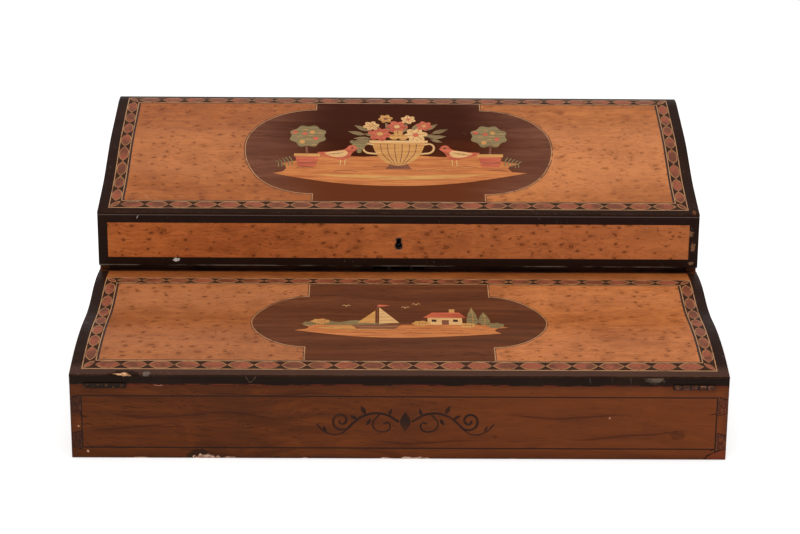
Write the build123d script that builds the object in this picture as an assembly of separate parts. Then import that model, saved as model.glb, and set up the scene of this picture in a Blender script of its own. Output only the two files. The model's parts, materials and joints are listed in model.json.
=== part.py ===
from build123d import *
from math import cos, radians, sin, sqrt, tan
import os

# A table-top writing and letter box in inlaid wood. A low front compartment is covered by a flap with a
# serpentine top, which opens forward into a writing slope. A taller letter compartment behind it is
# covered by a sloping lid with its own walls, which opens backward. +X is the width, +Y runs to the
# back, +Z is up, and the origin is the middle of the footprint on the table. Millimetres.

# Overall
width = 400.0

# Carcass boards
side_board = 6.5
front_board = 6.5
back_board = 8.5
bottom_board = 6.0
bottom_rebate = 3.0
front_height = 47.0
housing_depth = 2.0

# Flap: its underside slopes up towards the back, its top is three tangent arcs
flap_edge = 6.6
flap_slope = 8.0
flap_start_heading = 23.0
flap_nose_radius = 190.0
flap_saddle_heading = 2.0
flap_hollow_radius = 100.0
flap_rise_heading = 20.5
flap_crown_radius = 99.0
flap_rear_gap = 1.0
lipping = 2.0
clamp_width = 36.0
tongue_length = 5.0
tongue_thickness = 3.0
tongue_lift = 3.0
tongue_shoulder = 8.0
leather = 1.0
leather_margin = 14.0

# Lid: an upright front, then a slope that steepens, eases and rolls over at the back
lid_gap_over_ledge = 3.7
lid_front_height = 36.8
lid_front_board = 5.5
lid_top_board = 5.0
lid_low_heading = 21.0
lid_low_run = 30.0
lid_hollow_radius = 110.0
lid_steep_heading = 29.5
lid_steep_run = 22.0
lid_crown_radius = 130.0
lid_high_heading = 20.5
lid_high_run = 40.0
lid_roll_radius = 38.0
lid_rear_heading = 3.0
lid_rear_land = 1.5

# Rail between the two compartments
rail_thickness = 12.0
rail_upstand = 5.0
lid_swing_clearance = 0.5
lid_side_clearance = 0.5
side_step_setback = 5.8

# Letter dividers
divider_thickness = 3.0
divider_first_rise = 15.0
divider_rise_step = 15.0
divider_scoop_radius = 260.0
divider_scoop_depth = 9.0

# Veneer and inlay bands, from the edges inwards
veneer = 1.0
band_side = 6.9
flap_band_front = 4.8
lid_band_end = 4.2
string_line = 0.6
guilloche_band = 7.0
dark_line = 1.3
flap_rear_strip = 13.0
front_band_top = 7.4
front_band_bottom = 5.8
front_band_side = 6.5

# Cartouches: a rectangle with a round bay at each side
flap_cartouche_half = 58.2
flap_bay_across = 35.0
flap_bay_deep = 35.0
lid_cartouche_half = 57.8
lid_bay_across = 47.8
lid_bay_deep = 44.2

# Line inlay on the front board
line_width = 0.8
line_depth = 1.0
line_inset = 6.5

# Dovetails
pin_width = 8.5
pin_flare = 1.8
front_pin_count = 2
back_pin_count = 3

# Butt hinges
hinge_length = 25.0
hinge_end_inset = 9.0
barrel_radius = 1.5
hinge_pin_radius = 0.75
hinge_pin_play = 0.05
leaf_thickness = 1.0
leaf_seam_gap = 0.1
leaf_edge_margin = 0.4
knuckle_count = 5
knuckle_gap = 0.15
barrel_clearance = 0.3
flap_pivot_proud = 0.8
lid_pivot_inset = 1.7
lid_stop_chamfer = 50.0

# Brass screws and the nails of the bottom board
screw_head_radius = 1.3
screw_shank_radius = 0.7
screw_length = 5.0
lock_screw_length = 3.5
screw_slot = 0.4
screw_pitch = 8.0
nail_radius = 0.6
nail_head_radius = 1.1
nail_head_thickness = 0.6
nail_length = 16.0
nail_end_inset = 20.0
front_nail_count = 5
side_nail_count = 3

# Lock in the lid front: two hooks on the rail rise through its selvedge, and the bolt slides under them
lock_plate_width = 44.0
lock_cap_width = 32.0
lock_height = 22.0
lock_thickness = 6.0
lock_wall = 1.0
lock_recess = 2.5
lock_notch_clearance = 1.0
bolt_height = 10.3
bolt_thickness = 1.8
bolt_play = 0.15
bolt_throw = 2.8
talon_width = 3.2
talon_depth = 1.5
stud_radius = 0.8
stud_height = 3.4
key_pin_radius = 1.0
keyhole_radius = 2.4
keyhole_slot = 3.0
keyhole_height = 7.6
keyhole_rise = 11.9
liner_wall = 0.6
liner_depth = 3.0
link_plate_length = 32.0
link_plate_width = 6.0
link_plate_thickness = 1.0
link_screw_spacing = 25.0
hook_spacing = 15.0
hook_width = 5.0
hook_thickness = 1.6
hook_head = 1.6
hook_reach = 8.0
hook_clearance = 0.6
tooth_clearance = 0.3

os.makedirs("parts", exist_ok=True)


# Shapes that the pieces share

def path(start, heading, moves, depth=0.0):
    """Lines and arcs in Y and Z from a start point, `depth` below the outline that the moves describe.
    A move is ("line", length) or ("arc", radius, heading after it). Gives the edges and the last point."""
    angle = radians(heading)
    y = start[0] + depth * sin(angle)
    z = start[1] - depth * cos(angle)
    edges = []
    for move in moves:
        if move[0] == "line":
            end = (y + move[1] * cos(angle), z + move[1] * sin(angle))
            edges.append(Line((y, z), end))
        else:
            after = radians(move[2])
            sign = 1 if after < angle else -1
            radius = move[1] - sign * depth
            middle = (angle + after) / 2
            centre = (y + sign * radius * sin(angle), z - sign * radius * cos(angle))
            through = (centre[0] - sign * radius * sin(middle), centre[1] + sign * radius * cos(middle))
            end = (centre[0] - sign * radius * sin(after), centre[1] + sign * radius * cos(after))
            edges.append(ThreePointArc((y, z), through, end))
            angle = after
        y, z = end
    return edges, (y, z)


def under(start, heading, moves, depth=0.0):
    """Everything below an outline, as a wide solid. The outline runs on straight at both ends."""
    reach = lid_top_board + 5 * veneer
    angle = radians(heading)
    before = (start[0] - reach * cos(angle), start[1] - reach * sin(angle))
    edges, last = path(before, heading, [("line", reach), *moves, ("line", reach)], depth)
    first = edges[0] @ 0
    loop = [*edges, Line(last, (last[0], 0)), Line((last[0], 0), (first.X, 0)),
            Line((first.X, 0), (first.X, first.Y))]
    return extrude(Plane.YZ * make_face(loop), amount=width, both=True)


def block(x0, x1, y0, y1, z0, z1):
    """A box given by two of its corners."""
    return Pos((x0 + x1) / 2, (y0 + y1) / 2, (z0 + z1) / 2) * Box(x1 - x0, y1 - y0, z1 - z0)


def slab(points, x0, x1):
    """A prism along X with a polygon in Y and Z for its section."""
    face = Plane.YZ * make_face(Polyline(*points, close=True))
    return Pos(x0, 0, 0) * extrude(face, amount=x1 - x0)


def bar(radius, x, z, y0, y1):
    """A round bar along Y."""
    return Pos(x, (y0 + y1) / 2, z) * Rot(90, 0, 0) * Cylinder(radius, y1 - y0)


def save(name, shape):
    """Writes a sub-part as its separate solids."""
    solids = list(shape.solids())
    export_step(solids[0] if len(solids) == 1 else Compound(children=solids), f"parts/{name}.step")


def group(shapes):
    return Compound(children=[solid for shape in shapes for solid in shape.solids()])


# Main stations, from front to back

flap_moves = [("arc", flap_nose_radius, flap_saddle_heading),
              ("arc", flap_hollow_radius, flap_rise_heading),
              ("arc", flap_crown_radius, 0.0)]
lid_moves = [("line", lid_low_run),
             ("arc", lid_hollow_radius, lid_steep_heading),
             ("line", lid_steep_run),
             ("arc", lid_crown_radius, lid_high_heading),
             ("line", lid_high_run),
             ("arc", lid_roll_radius, lid_rear_heading),
             ("line", lid_rear_land)]
flap_run = path((0.0, 0.0), flap_start_heading, flap_moves)[1]
lid_run = path((0.0, 0.0), lid_low_heading, lid_moves)[1]
depth = flap_run[0] + flap_rear_gap + lid_run[0]
front = -depth / 2
back = depth / 2
half = width / 2
inner_half = half - side_board
front_inner = front + front_board
back_inner = back - back_board
flap_back = front + flap_run[0]
lid_front = flap_back + flap_rear_gap
lid_inner_front = lid_front + veneer + lid_front_board
side_step = lid_front + side_step_setback
rail_back = lid_front + rail_thickness
ledge_height = front_height + flap_edge + flap_run[1]
rear_height = ledge_height + lid_gap_over_ledge
sky = rear_height + lid_front_height + lid_run[1] + 10 * veneer
flap_start = (front, front_height + flap_edge)
lid_start = (lid_front, rear_height + lid_front_height)


def seam(y):
    """Height of the sloping seam under the flap."""
    return front_height + (y - front) * tan(radians(flap_slope))


def flap_under(set_in=0.0):
    return under(flap_start, flap_start_heading, flap_moves, set_in)


def lid_under(set_in=0.0):
    return under(lid_start, lid_low_heading, lid_moves, set_in)


flap_pivot = (front - flap_pivot_proud, seam(front - flap_pivot_proud))
lid_pivot = (back - lid_pivot_inset, rear_height)


# Brass screws: a countersunk head with a slot, and a plain shank

def screw(length=screw_length):
    """A screw that points down from the origin, with the top of its head there."""
    head_depth = screw_head_radius - screw_shank_radius
    head = Pos(0, 0, -head_depth / 2) * Cone(screw_shank_radius, screw_head_radius, head_depth)
    shank_length = length - head_depth
    shank = Pos(0, 0, -head_depth - shank_length / 2) * Cylinder(screw_shank_radius, shank_length)
    return head + shank


def slotted(place, length=screw_length):
    slot_depth = (screw_head_radius - screw_shank_radius) / 2
    slot = Pos(0, 0, -slot_depth / 2) * Box(screw_slot, 3 * screw_head_radius, slot_depth)
    return place * (screw(length) - slot)


# Butt hinges, made at the origin: the axis along X, the leaves running to +Y, the seam at Z = 0

knuckle = (hinge_length - (knuckle_count - 1) * knuckle_gap) / knuckle_count
leaf_root = barrel_radius + barrel_clearance


def leaf(side, leaf_end, own):
    """One leaf with its knuckles. Side is 1 above the seam and -1 below it."""
    z0, z1 = sorted((side * leaf_seam_gap, side * (leaf_seam_gap + leaf_thickness)))
    made = block(-hinge_length / 2, hinge_length / 2, leaf_root, leaf_end, z0, z1)
    for n in own:
        x0 = -hinge_length / 2 + n * (knuckle + knuckle_gap)
        barrel = Pos(x0 + knuckle / 2, 0, 0) * Rot(0, 90, 0) * Cylinder(barrel_radius, knuckle)
        made += barrel + block(x0, x0 + knuckle, 0, leaf_root, z0, z1)
    return made - Rot(0, 90, 0) * Cylinder(hinge_pin_radius + hinge_pin_play, 2 * hinge_length)


def leaf_screw_places(side, leaf_end):
    """The leaf's three screws, their heads flush with its face on the seam."""
    y = (leaf_root + leaf_end) / 2
    turn = Rot(0, 0, 0) if side < 0 else Rot(180, 0, 0)
    return [Pos(n * screw_pitch, y, side * leaf_seam_gap) * turn for n in (-1, 0, 1)]


def leaf_mortise(side, leaf_end):
    """What the wood loses: the leaf's bed, open to the seam, and a round groove for the barrel."""
    z0, z1 = sorted((0.0, side * (leaf_seam_gap + leaf_thickness)))
    bed = block(-hinge_length / 2, hinge_length / 2, 0, leaf_end, z0, z1)
    groove = Cylinder(barrel_radius + barrel_clearance, hinge_length + 2 * knuckle_gap)
    return bed + Rot(0, 90, 0) * groove


def fit_leaf(name, place, side, leaf_end, own, screws, cuts):
    """Saves a leaf in its place, and adds to its screws and to what the wood loses for it."""
    shape = place * leaf(side, leaf_end, own)
    cuts.append(place * leaf_mortise(side, leaf_end))
    for spot in leaf_screw_places(side, leaf_end):
        shape -= place * spot * screw()
        cuts.append(place * spot * screw())
        screws.append(slotted(place * spot))
    save(name, shape)


hinge_x = half - hinge_end_inset - hinge_length / 2
flap_leaf_end = flap_pivot_proud + front_board - leaf_edge_margin
lid_leaf_end = back_board - lid_pivot_inset - leaf_edge_margin
outer_knuckles = range(0, knuckle_count, 2)
inner_knuckles = range(1, knuckle_count, 2)
base_screws, flap_screws, lid_screws = [], [], []
base_cuts, flap_cuts, lid_cuts = [], [], []
hinge_pins = {"flap": [], "lid": []}
for side_name, x in (("left", -hinge_x), ("right", hinge_x)):
    place = Pos(x, *flap_pivot) * Rot(flap_slope, 0, 0)
    fit_leaf(f"flap_hinge_{side_name}_base_leaf", place, -1, flap_leaf_end, outer_knuckles,
             base_screws, base_cuts)
    fit_leaf(f"flap_hinge_{side_name}_flap_leaf", place, 1, flap_leaf_end, inner_knuckles,
             flap_screws, flap_cuts)
    hinge_pins["flap"].append(place * Rot(0, 90, 0) * Cylinder(hinge_pin_radius, hinge_length))
    place = Pos(x, *lid_pivot) * Rot(0, 0, 180)
    fit_leaf(f"lid_hinge_{side_name}_base_leaf", place, -1, lid_leaf_end, outer_knuckles,
             base_screws, base_cuts)
    fit_leaf(f"lid_hinge_{side_name}_lid_leaf", place, 1, lid_leaf_end, inner_knuckles,
             lid_screws, lid_cuts)
    hinge_pins["lid"].append(place * Rot(0, 90, 0) * Cylinder(hinge_pin_radius, hinge_length))
for name, pins in hinge_pins.items():
    save(f"{name}_hinge_pins", group(pins))


# Bottom board in a rebate of the four walls, nailed from below

bottom_bed = block(-inner_half - bottom_rebate, inner_half + bottom_rebate,
                   front_inner - bottom_rebate, back_inner + bottom_rebate, 0, bottom_board)
nail_x = inner_half + bottom_rebate / 2
nail_places = []
for n in range(front_nail_count):
    x = (2 * n / (front_nail_count - 1) - 1) * (inner_half - nail_end_inset)
    nail_places += [(x, front_inner - bottom_rebate / 2), (x, back_inner + bottom_rebate / 2)]
for n in range(side_nail_count):
    y = front_inner + (n + 0.5) * (back_inner - front_inner) / side_nail_count
    nail_places += [(-nail_x, y), (nail_x, y)]
nails = []
for x, y in nail_places:
    shank = Pos(x, y, nail_length / 2) * Cylinder(nail_radius, nail_length)
    head = Pos(x, y, nail_head_thickness / 2) * Cylinder(nail_head_radius, nail_head_thickness)
    nails.append(shank + head)
nail_group = group(nails)
save("bottom_nails", nail_group)
save("base_bottom_board", bottom_bed - nail_group)


# Lock stations: its bottom lies in the seam under the lid

lock_front = lid_inner_front - lock_recess
lock_back = lock_front + lock_thickness
lock_inner = (lock_front + lock_wall, lock_back - lock_wall)
bolt_y = (lock_inner[0] + lock_inner[1]) / 2
bolt_low = rear_height + lock_wall + bolt_play
keyhole_centre = rear_height + keyhole_rise + keyhole_radius
keyhole_top = rear_height + keyhole_rise + keyhole_height
hook_centres = (-hook_spacing / 2, hook_spacing / 2)
lock_notch = block(-lock_cap_width / 2 - lock_notch_clearance, lock_cap_width / 2 + lock_notch_clearance,
                   lid_front - lock_wall, rail_back + lock_wall, ledge_height, sky)


# Link plate: let into the ledge of the rail, with two hooks that open to the left

link_plate = block(-link_plate_length / 2, link_plate_length / 2, bolt_y - link_plate_width / 2,
                   bolt_y + link_plate_width / 2, ledge_height - link_plate_thickness, ledge_height)
link_screw_places = [Pos(n * link_screw_spacing / 2, bolt_y, ledge_height) for n in (-1, 1)]
hook_top = rear_height + hook_reach
links = link_plate
for x in hook_centres:
    near, far = bolt_y - hook_thickness / 2, bolt_y + hook_thickness / 2
    links += block(x, x + hook_width / 2, near, far, ledge_height, hook_top)
    links += block(x - hook_width / 2, x + hook_width / 2, near, far, hook_top - hook_head, hook_top)


# Rail: a ledge level with the back of the flap, and an upstand just inside the lid's front board

rail_end = inner_half + housing_depth
rail_bed = block(-rail_end, rail_end, lid_front, rail_back, bottom_board, ledge_height)
upstand_end = inner_half - lid_side_clearance
upstand_top = rear_height + rail_upstand
swing_radius = lid_pivot[0] - lid_inner_front - lid_swing_clearance
upstand_front = lid_pivot[0] - sqrt(swing_radius ** 2 - rail_upstand ** 2)
upstand = block(-upstand_end, upstand_end, upstand_front, rail_back, ledge_height, upstand_top)
rail = rail_bed + (upstand - lock_notch) - link_plate - nail_group
for place in link_screw_places:
    links -= place * screw()
    rail -= place * screw()
    base_screws.append(slotted(place))
save("link_plate", links)
save("compartment_rail", rail)
save("base_screws", group(base_screws))


# Letter dividers: each higher than the one in front of it, with a scooped top edge

divider_names = ("front", "middle", "rear")
slot_room = back_inner - rail_back - len(divider_names) * divider_thickness
divider_pitch = slot_room / (len(divider_names) + 1) + divider_thickness
divider_beds = []
for n, label in enumerate(divider_names):
    near = rail_back + (n + 1) * divider_pitch - divider_thickness
    far = near + divider_thickness
    top = rear_height + divider_first_rise + n * divider_rise_step
    bed = block(-rail_end, rail_end, near, far, bottom_board, rear_height - housing_depth)
    body = block(-upstand_end, upstand_end, near, far, bottom_board, top)
    scoop = bar(divider_scoop_radius, 0, top - divider_scoop_depth + divider_scoop_radius,
                near - divider_thickness, far + divider_thickness)
    divider_beds.append(bed)
    save(f"letter_divider_{label}", bed + body - scoop - nail_group)


# Dovetails: pins on the ends of the side boards, narrow outside and wide inside

def pins_of(side, y0, y1, top, count):
    """The pins at one end of a side board. Side is -1 for the left and 1 for the right."""
    made = []
    for n in range(count):
        z = top * (n + 0.5) / count
        narrow = pin_width / 2
        wide = narrow + pin_flare
        outline = Polyline((side * half, z - narrow), (side * half, z + narrow),
                           (side * inner_half, z + wide), (side * inner_half, z - wide), close=True)
        made.append(Pos(0, y0, 0) * extrude(Plane.XZ * make_face(outline), amount=y0 - y1))
    return made


# Carcass walls: the sides step up behind the flap, and their rear arrises leave room for the lid

above_seam = slab([(front - front_board, seam(front - front_board)), (lid_front, seam(lid_front)),
                   (lid_front, sky), (front - front_board, sky)], -width, width)
chamfer_slope = tan(radians(lid_stop_chamfer))
stop_reach = lid_pivot_inset + back_board
stop_wedge = slab([lid_pivot, (lid_pivot[0] + stop_reach, rear_height - stop_reach * chamfer_slope),
                   (lid_pivot[0] + stop_reach, rear_height + stop_reach * chamfer_slope)], -width, width)
side_outline = [(front_inner, 0), (back_inner, 0), (back_inner, rear_height), (side_step, rear_height),
                (side_step, ledge_height), (lid_front, ledge_height), (lid_front, seam(lid_front)),
                (front_inner, seam(front_inner))]
line_edges = (half - line_inset, line_inset, front_height - line_inset)
line_frame = block(-line_edges[0], line_edges[0], front, front + line_depth, line_edges[1], line_edges[2])
line_frame -= block(-line_edges[0] + line_width, line_edges[0] - line_width, front, front + line_depth,
                    line_edges[1] + line_width, line_edges[2] - line_width)
save("front_line_inlay", line_frame)
front_wall = block(-half, half, front, front_inner, 0, seam(front_inner)) - above_seam
back_wall = block(-half, half, back_inner, back, 0, rear_height)
for side, label in ((-1, "left"), (1, "right")):
    x0, x1 = sorted((side * half, side * inner_half))
    wall = slab(side_outline, x0, x1)
    for pin in pins_of(side, front, front_inner, seam(front), front_pin_count):
        wall += pin
        front_wall -= pin
    for pin in pins_of(side, back_inner, back, rear_height, back_pin_count):
        wall += pin
        back_wall -= pin
    wall -= stop_wedge + bottom_bed + line_frame
    for cut in [rail_bed, *divider_beds, *base_cuts, *nails]:
        wall -= cut
    save(f"base_side_{label}", wall)
front_wall -= line_frame + bottom_bed
back_wall -= stop_wedge + bottom_bed
for cut in [*base_cuts, *nails]:
    front_wall -= cut
    back_wall -= cut
save("base_front_board", front_wall)
save("base_back_board", back_wall)


# Inlaid tops: one curved veneer layer, cut straight down along the lines of a plan

def column(x0, x1, y0, y1):
    return block(x0, x1, y0, y1, 0, sky)


def ring(outer, inner):
    """The rectangular ring between two rectangles, each given as half width, front and back."""
    return column(-outer[0], outer[0], *outer[1:]) - column(-inner[0], inner[0], *inner[1:])


def cartouche_plan(cartouche, y0, y1, spread=0.0):
    """A rectangle with an oval bay at each side. Spread makes its sides and bays larger."""
    half_wide, across, deep = cartouche
    plan = column(-half_wide - spread, half_wide + spread, y0, y1)
    for x in (-half_wide, half_wide):
        plan += extrude(Pos(x, (y0 + y1) / 2) * Ellipse(across + spread, deep + spread), amount=sky)
    return plan & column(-half, half, y0, y1)


def inlaid_top(name, layer, y0, y1, band_front, band_back, cartouche):
    """Saves the strings, guilloche ground, dark line, fields and cartouche, and gives the outer banding."""
    edges = [(half, y0, y1), (half - band_side, y0 + band_front, y1 - band_back)]
    for side_step_in, end_step_in in ((string_line, string_line), (guilloche_band, guilloche_band),
                                      (string_line, string_line), (dark_line, string_line)):
        x, near, far = edges[-1]
        edges.append((x - side_step_in, near + end_step_in, far - end_step_in))
    rings = [layer & ring(outer, inner) for outer, inner in zip(edges, edges[1:])]
    x, near, far = edges[-1]
    field = layer & column(-x, x, near, far)
    inside = cartouche_plan(cartouche, near, far)
    around = cartouche_plan(cartouche, near, far, string_line)
    maple = field - around
    save(f"{name}_guilloche_ground", rings[2])
    save(f"{name}_inner_dark_line", rings[4])
    save(f"{name}_cartouche", field & inside)
    save(f"{name}_strings", group([rings[1], rings[3], (field & around) - inside]))
    save(f"{name}_maple_left", maple & column(-half, 0, near, far))
    save(f"{name}_maple_right", maple & column(0, half, near, far))
    return rings[0]


# Flap: a solid core board with clamps tongued on at both ends, a lipping, veneer and writing leather

flap_body = (flap_under() & column(-half, half, front, flap_back)) & above_seam
flap_layer = flap_body - flap_under(veneer)
flap_solid = flap_body & flap_under(veneer)
strip_front = flap_back - flap_rear_strip
save("flap_rear_strip", flap_layer & column(-half + band_side, half - band_side, strip_front, flap_back))
flap_banding = inlaid_top("flap", flap_layer, front, strip_front, flap_band_front, 0.0,
                          (flap_cartouche_half, flap_bay_across, flap_bay_deep))
for x0, x1 in ((-half, -half + band_side), (half - band_side, half)):
    flap_banding += flap_layer & column(x0, x1, strip_front, flap_back)
save("flap_edge_banding", flap_banding)

leather_ends = (front + leather_margin, flap_back - leather_margin)
leather_sheet = slab([(leather_ends[0], seam(leather_ends[0])), (leather_ends[1], seam(leather_ends[1])),
                      (leather_ends[1], seam(leather_ends[1]) + leather),
                      (leather_ends[0], seam(leather_ends[0]) + leather)],
                     -half + leather_margin, half - leather_margin)
save("flap_writing_leather", leather_sheet)
tongue_ends = (front + lipping + tongue_shoulder, flap_back - tongue_shoulder)
tongue_low = tongue_lift + leather
tongue_high = tongue_low + tongue_thickness
core_half = half - clamp_width
tongues = slab([(tongue_ends[0], seam(tongue_ends[0]) + tongue_low),
                (tongue_ends[1], seam(tongue_ends[1]) + tongue_low),
                (tongue_ends[1], seam(tongue_ends[1]) + tongue_high),
                (tongue_ends[0], seam(tongue_ends[0]) + tongue_high)],
               -core_half - tongue_length, core_half + tongue_length)
flap_wood = flap_solid - leather_sheet
for cut in flap_cuts:
    flap_wood -= cut
behind_lipping = flap_wood & column(-half, half, front + lipping, flap_back)
save("flap_front_lipping", flap_wood & column(-half, half, front, front + lipping))
core = behind_lipping & column(-core_half, core_half, front, flap_back)
save("flap_core_board", core + (behind_lipping & tongues))
save("flap_clamp_left", (behind_lipping & column(-half, -core_half, front, flap_back)) - tongues)
save("flap_clamp_right", (behind_lipping & column(core_half, half, front, flap_back)) - tongues)
save("flap_screws", group(flap_screws))


# Lid: a box without a floor, its top board laid on its four walls and veneered

def keyhole(spread, y0, y1):
    """A keyhole with its round end down, as a cutter from y0 to y1."""
    slot = block(-keyhole_slot / 2 - spread, keyhole_slot / 2 + spread, y0, y1,
                 keyhole_centre, keyhole_top + spread)
    return bar(keyhole_radius + spread, 0, keyhole_centre, y0, y1) + slot


above_rear = block(-half, half, lid_front, back, rear_height, sky)
lid_body = lid_under() & above_rear
lid_solid = lid_under(veneer) & above_rear
lid_room = lid_under(veneer + lid_top_board) & above_rear
lid_banding = inlaid_top("lid", lid_body - lid_solid, lid_front, back, lid_band_end, lid_band_end,
                         (lid_cartouche_half, lid_bay_across, lid_bay_deep))
save("lid_edge_banding", lid_banding)
save("lid_top_board", (lid_solid - lid_room) & column(-half, half, lid_front + veneer, back))

front_veneer = lid_solid & column(-half, half, lid_front, lid_front + veneer)
panel_edge = half - front_band_side
front_panel = block(-panel_edge, panel_edge, lid_front, lid_front + veneer,
                    rear_height + front_band_bottom, lid_start[1] - front_band_top)
liner_hole = keyhole(liner_wall, lid_front, lid_front + liner_depth)
key_way = keyhole(0, lid_front, lock_back - lock_wall)
save("lid_front_banding", front_veneer - front_panel)
save("lid_front_panel", front_panel - liner_hole)
save("keyhole_liner", liner_hole - key_way)

lock_bed = block(-lock_plate_width / 2, lock_plate_width / 2, lock_front, lock_back,
                 rear_height, rear_height + lock_height)
lock_screw_x = (lock_plate_width + lock_cap_width) / 4
lock_screw_places = [Pos(x, lock_inner[0], rear_height + z) * Rot(-90, 0, 0)
                     for x in (-lock_screw_x, lock_screw_x) for z in (lock_height / 4, 3 * lock_height / 4)]
lid_front_wall = lid_room & column(-half, half, lid_front + veneer, lid_inner_front)
lid_front_wall -= lock_bed + liner_hole + key_way
lock_cap_half = lock_cap_width / 2
lock_plate = block(-lock_plate_width / 2, lock_plate_width / 2, lock_front, lock_inner[0],
                   rear_height, rear_height + lock_height)
lock_plate += block(-lock_cap_half, lock_cap_half, lock_front, lock_back, rear_height,
                    rear_height + lock_wall)
lock_plate -= key_way
for x in hook_centres:
    reach = hook_width / 2 + hook_clearance
    spread = hook_thickness / 2 + hook_clearance
    lock_plate -= block(x - reach, x + reach, bolt_y - spread, bolt_y + spread,
                        rear_height, rear_height + lock_wall)
stud_x = bolt_throw / 2
lock_plate += bar(stud_radius, stud_x, rear_height + stud_height, *lock_inner)
for place in lock_screw_places:
    lock_plate -= place * screw(lock_screw_length)
    lid_front_wall -= place * screw(lock_screw_length)
    lid_screws.append(slotted(place, lock_screw_length))
save("lock_plate", lock_plate)
save("lid_front_board", lid_front_wall)

lock_cap = block(-lock_cap_half, lock_cap_half, lock_inner[0], lock_back, rear_height + lock_wall,
                 rear_height + lock_height)
lock_cap -= block(-lock_cap_half + lock_wall, lock_cap_half - lock_wall, *lock_inner,
                  rear_height + lock_wall, rear_height + lock_height - lock_wall)
lock_cap += bar(key_pin_radius, 0, keyhole_centre, lid_front + liner_depth, lock_back)
save("lock_cap", lock_cap)

for side, label in ((-1, "left"), (1, "right")):
    x0, x1 = sorted((side * half, side * inner_half))
    save(f"lid_side_{label}", lid_room & column(x0, x1, lid_inner_front, back_inner))
lid_back_wall = (lid_room & column(-half, half, back_inner, back)) - stop_wedge
for cut in lid_cuts:
    lid_back_wall -= cut
save("lid_back_board", lid_back_wall)
save("lid_screws", group(lid_screws))


# Lock bolt, drawn back: its teeth slide under the hooks when the key moves it to the right

bolt_near = bolt_y - bolt_thickness / 2
bolt_far = bolt_y + bolt_thickness / 2
bolt_left = -lock_cap_half + lock_wall + bolt_play
bolt_right = lock_cap_half - lock_wall - bolt_play - bolt_throw
bolt_top = bolt_low + bolt_height
tooth_top = hook_top - hook_head - tooth_clearance
bolt = block(bolt_left, bolt_right, bolt_near, bolt_far, bolt_low, bolt_top)
for x in hook_centres:
    reach = hook_width / 2 + hook_clearance
    bolt -= block(x - reach, x + reach, bolt_near, bolt_far, bolt_low, tooth_top)
    bolt -= block(x - reach - bolt_throw, x + reach, bolt_near, bolt_far, tooth_top,
                  hook_top + hook_clearance)
bolt -= block(-talon_width / 2, talon_width / 2, bolt_near, bolt_far, bolt_top - talon_depth, bolt_top)
stud_room = stud_radius + bolt_play
stud_z = rear_height + stud_height
bolt -= bar(stud_room, stud_x, stud_z, bolt_near, bolt_far)
bolt -= bar(stud_room, stud_x - bolt_throw, stud_z, bolt_near, bolt_far)
bolt -= block(stud_x - bolt_throw, stud_x, bolt_near, bolt_far, stud_z - stud_room, stud_z + stud_room)
save("lock_bolt", bolt)
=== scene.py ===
import json
import math

import bpy
from mathutils import Matrix, Vector


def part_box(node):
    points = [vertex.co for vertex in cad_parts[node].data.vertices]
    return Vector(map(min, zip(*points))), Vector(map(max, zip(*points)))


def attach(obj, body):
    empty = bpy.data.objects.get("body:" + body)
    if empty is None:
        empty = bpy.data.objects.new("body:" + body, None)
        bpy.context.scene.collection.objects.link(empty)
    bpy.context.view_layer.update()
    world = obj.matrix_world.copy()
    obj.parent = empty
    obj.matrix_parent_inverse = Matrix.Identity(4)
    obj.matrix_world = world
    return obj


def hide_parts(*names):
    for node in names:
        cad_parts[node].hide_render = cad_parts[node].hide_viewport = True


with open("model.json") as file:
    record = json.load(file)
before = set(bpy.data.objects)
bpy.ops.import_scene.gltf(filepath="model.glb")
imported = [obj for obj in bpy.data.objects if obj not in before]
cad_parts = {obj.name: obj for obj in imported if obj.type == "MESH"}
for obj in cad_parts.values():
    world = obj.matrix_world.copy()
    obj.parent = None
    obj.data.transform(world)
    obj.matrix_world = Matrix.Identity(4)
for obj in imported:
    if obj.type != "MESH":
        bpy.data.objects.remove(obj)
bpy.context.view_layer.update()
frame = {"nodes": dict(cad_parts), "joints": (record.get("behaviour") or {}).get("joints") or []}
nodes = frame["nodes"]


# Studio. A white sheet under the box, a broad soft lamp overhead and one in front, and an even white
# room round them. The camera stands four feet off and a little above, looking down by fifteen degrees.

def rgb(red, green, blue):
    """A colour as a screen shows it, 0 to 255, as the linear values that the nodes mix."""
    def linear(value):
        value /= 255
        return value / 12.92 if value <= 0.04045 else ((value + 0.055) / 1.055) ** 2.4
    return (linear(red), linear(green), linear(blue), 1.0)


class Wire:
    """A value that leaves a node. Wires and plain numbers add, multiply and so on as plain sums."""

    def __init__(self, socket):
        self.socket = socket
        self.tree = socket.id_data

    def __add__(self, other):
        return calc("ADD", self, other)

    def __radd__(self, other):
        return calc("ADD", other, self)

    def __sub__(self, other):
        return calc("SUBTRACT", self, other)

    def __rsub__(self, other):
        return calc("SUBTRACT", other, self)

    def __mul__(self, other):
        return calc("MULTIPLY", self, other)

    def __rmul__(self, other):
        return calc("MULTIPLY", other, self)

    def __truediv__(self, other):
        return calc("DIVIDE", self, other)

    def __abs__(self):
        return calc("ABSOLUTE", self)


class Outlets:
    """What comes out of a node: each outlet is a wire, by its name or its number."""

    def __init__(self, node):
        self.node = node

    def __getitem__(self, outlet):
        return Wire(self.node.outputs[outlet])


def plug(socket, value):
    """Feeds a socket from a wire, or sets it to a plain value."""
    if isinstance(value, Wire):
        value.tree.links.new(value.socket, socket)
    else:
        socket.default_value = value


def add(kind, feeds, tree=None, **settings):
    """One more node, set up and fed, in the tree of the first wire that feeds it."""
    tree = tree or next(value.tree for value in feeds.values() if isinstance(value, Wire))
    made = tree.nodes.new(kind)
    for name, value in settings.items():
        setattr(made, name, value)
    for name, value in feeds.items():
        plug(made.inputs[name], value)
    return Outlets(made)


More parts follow.
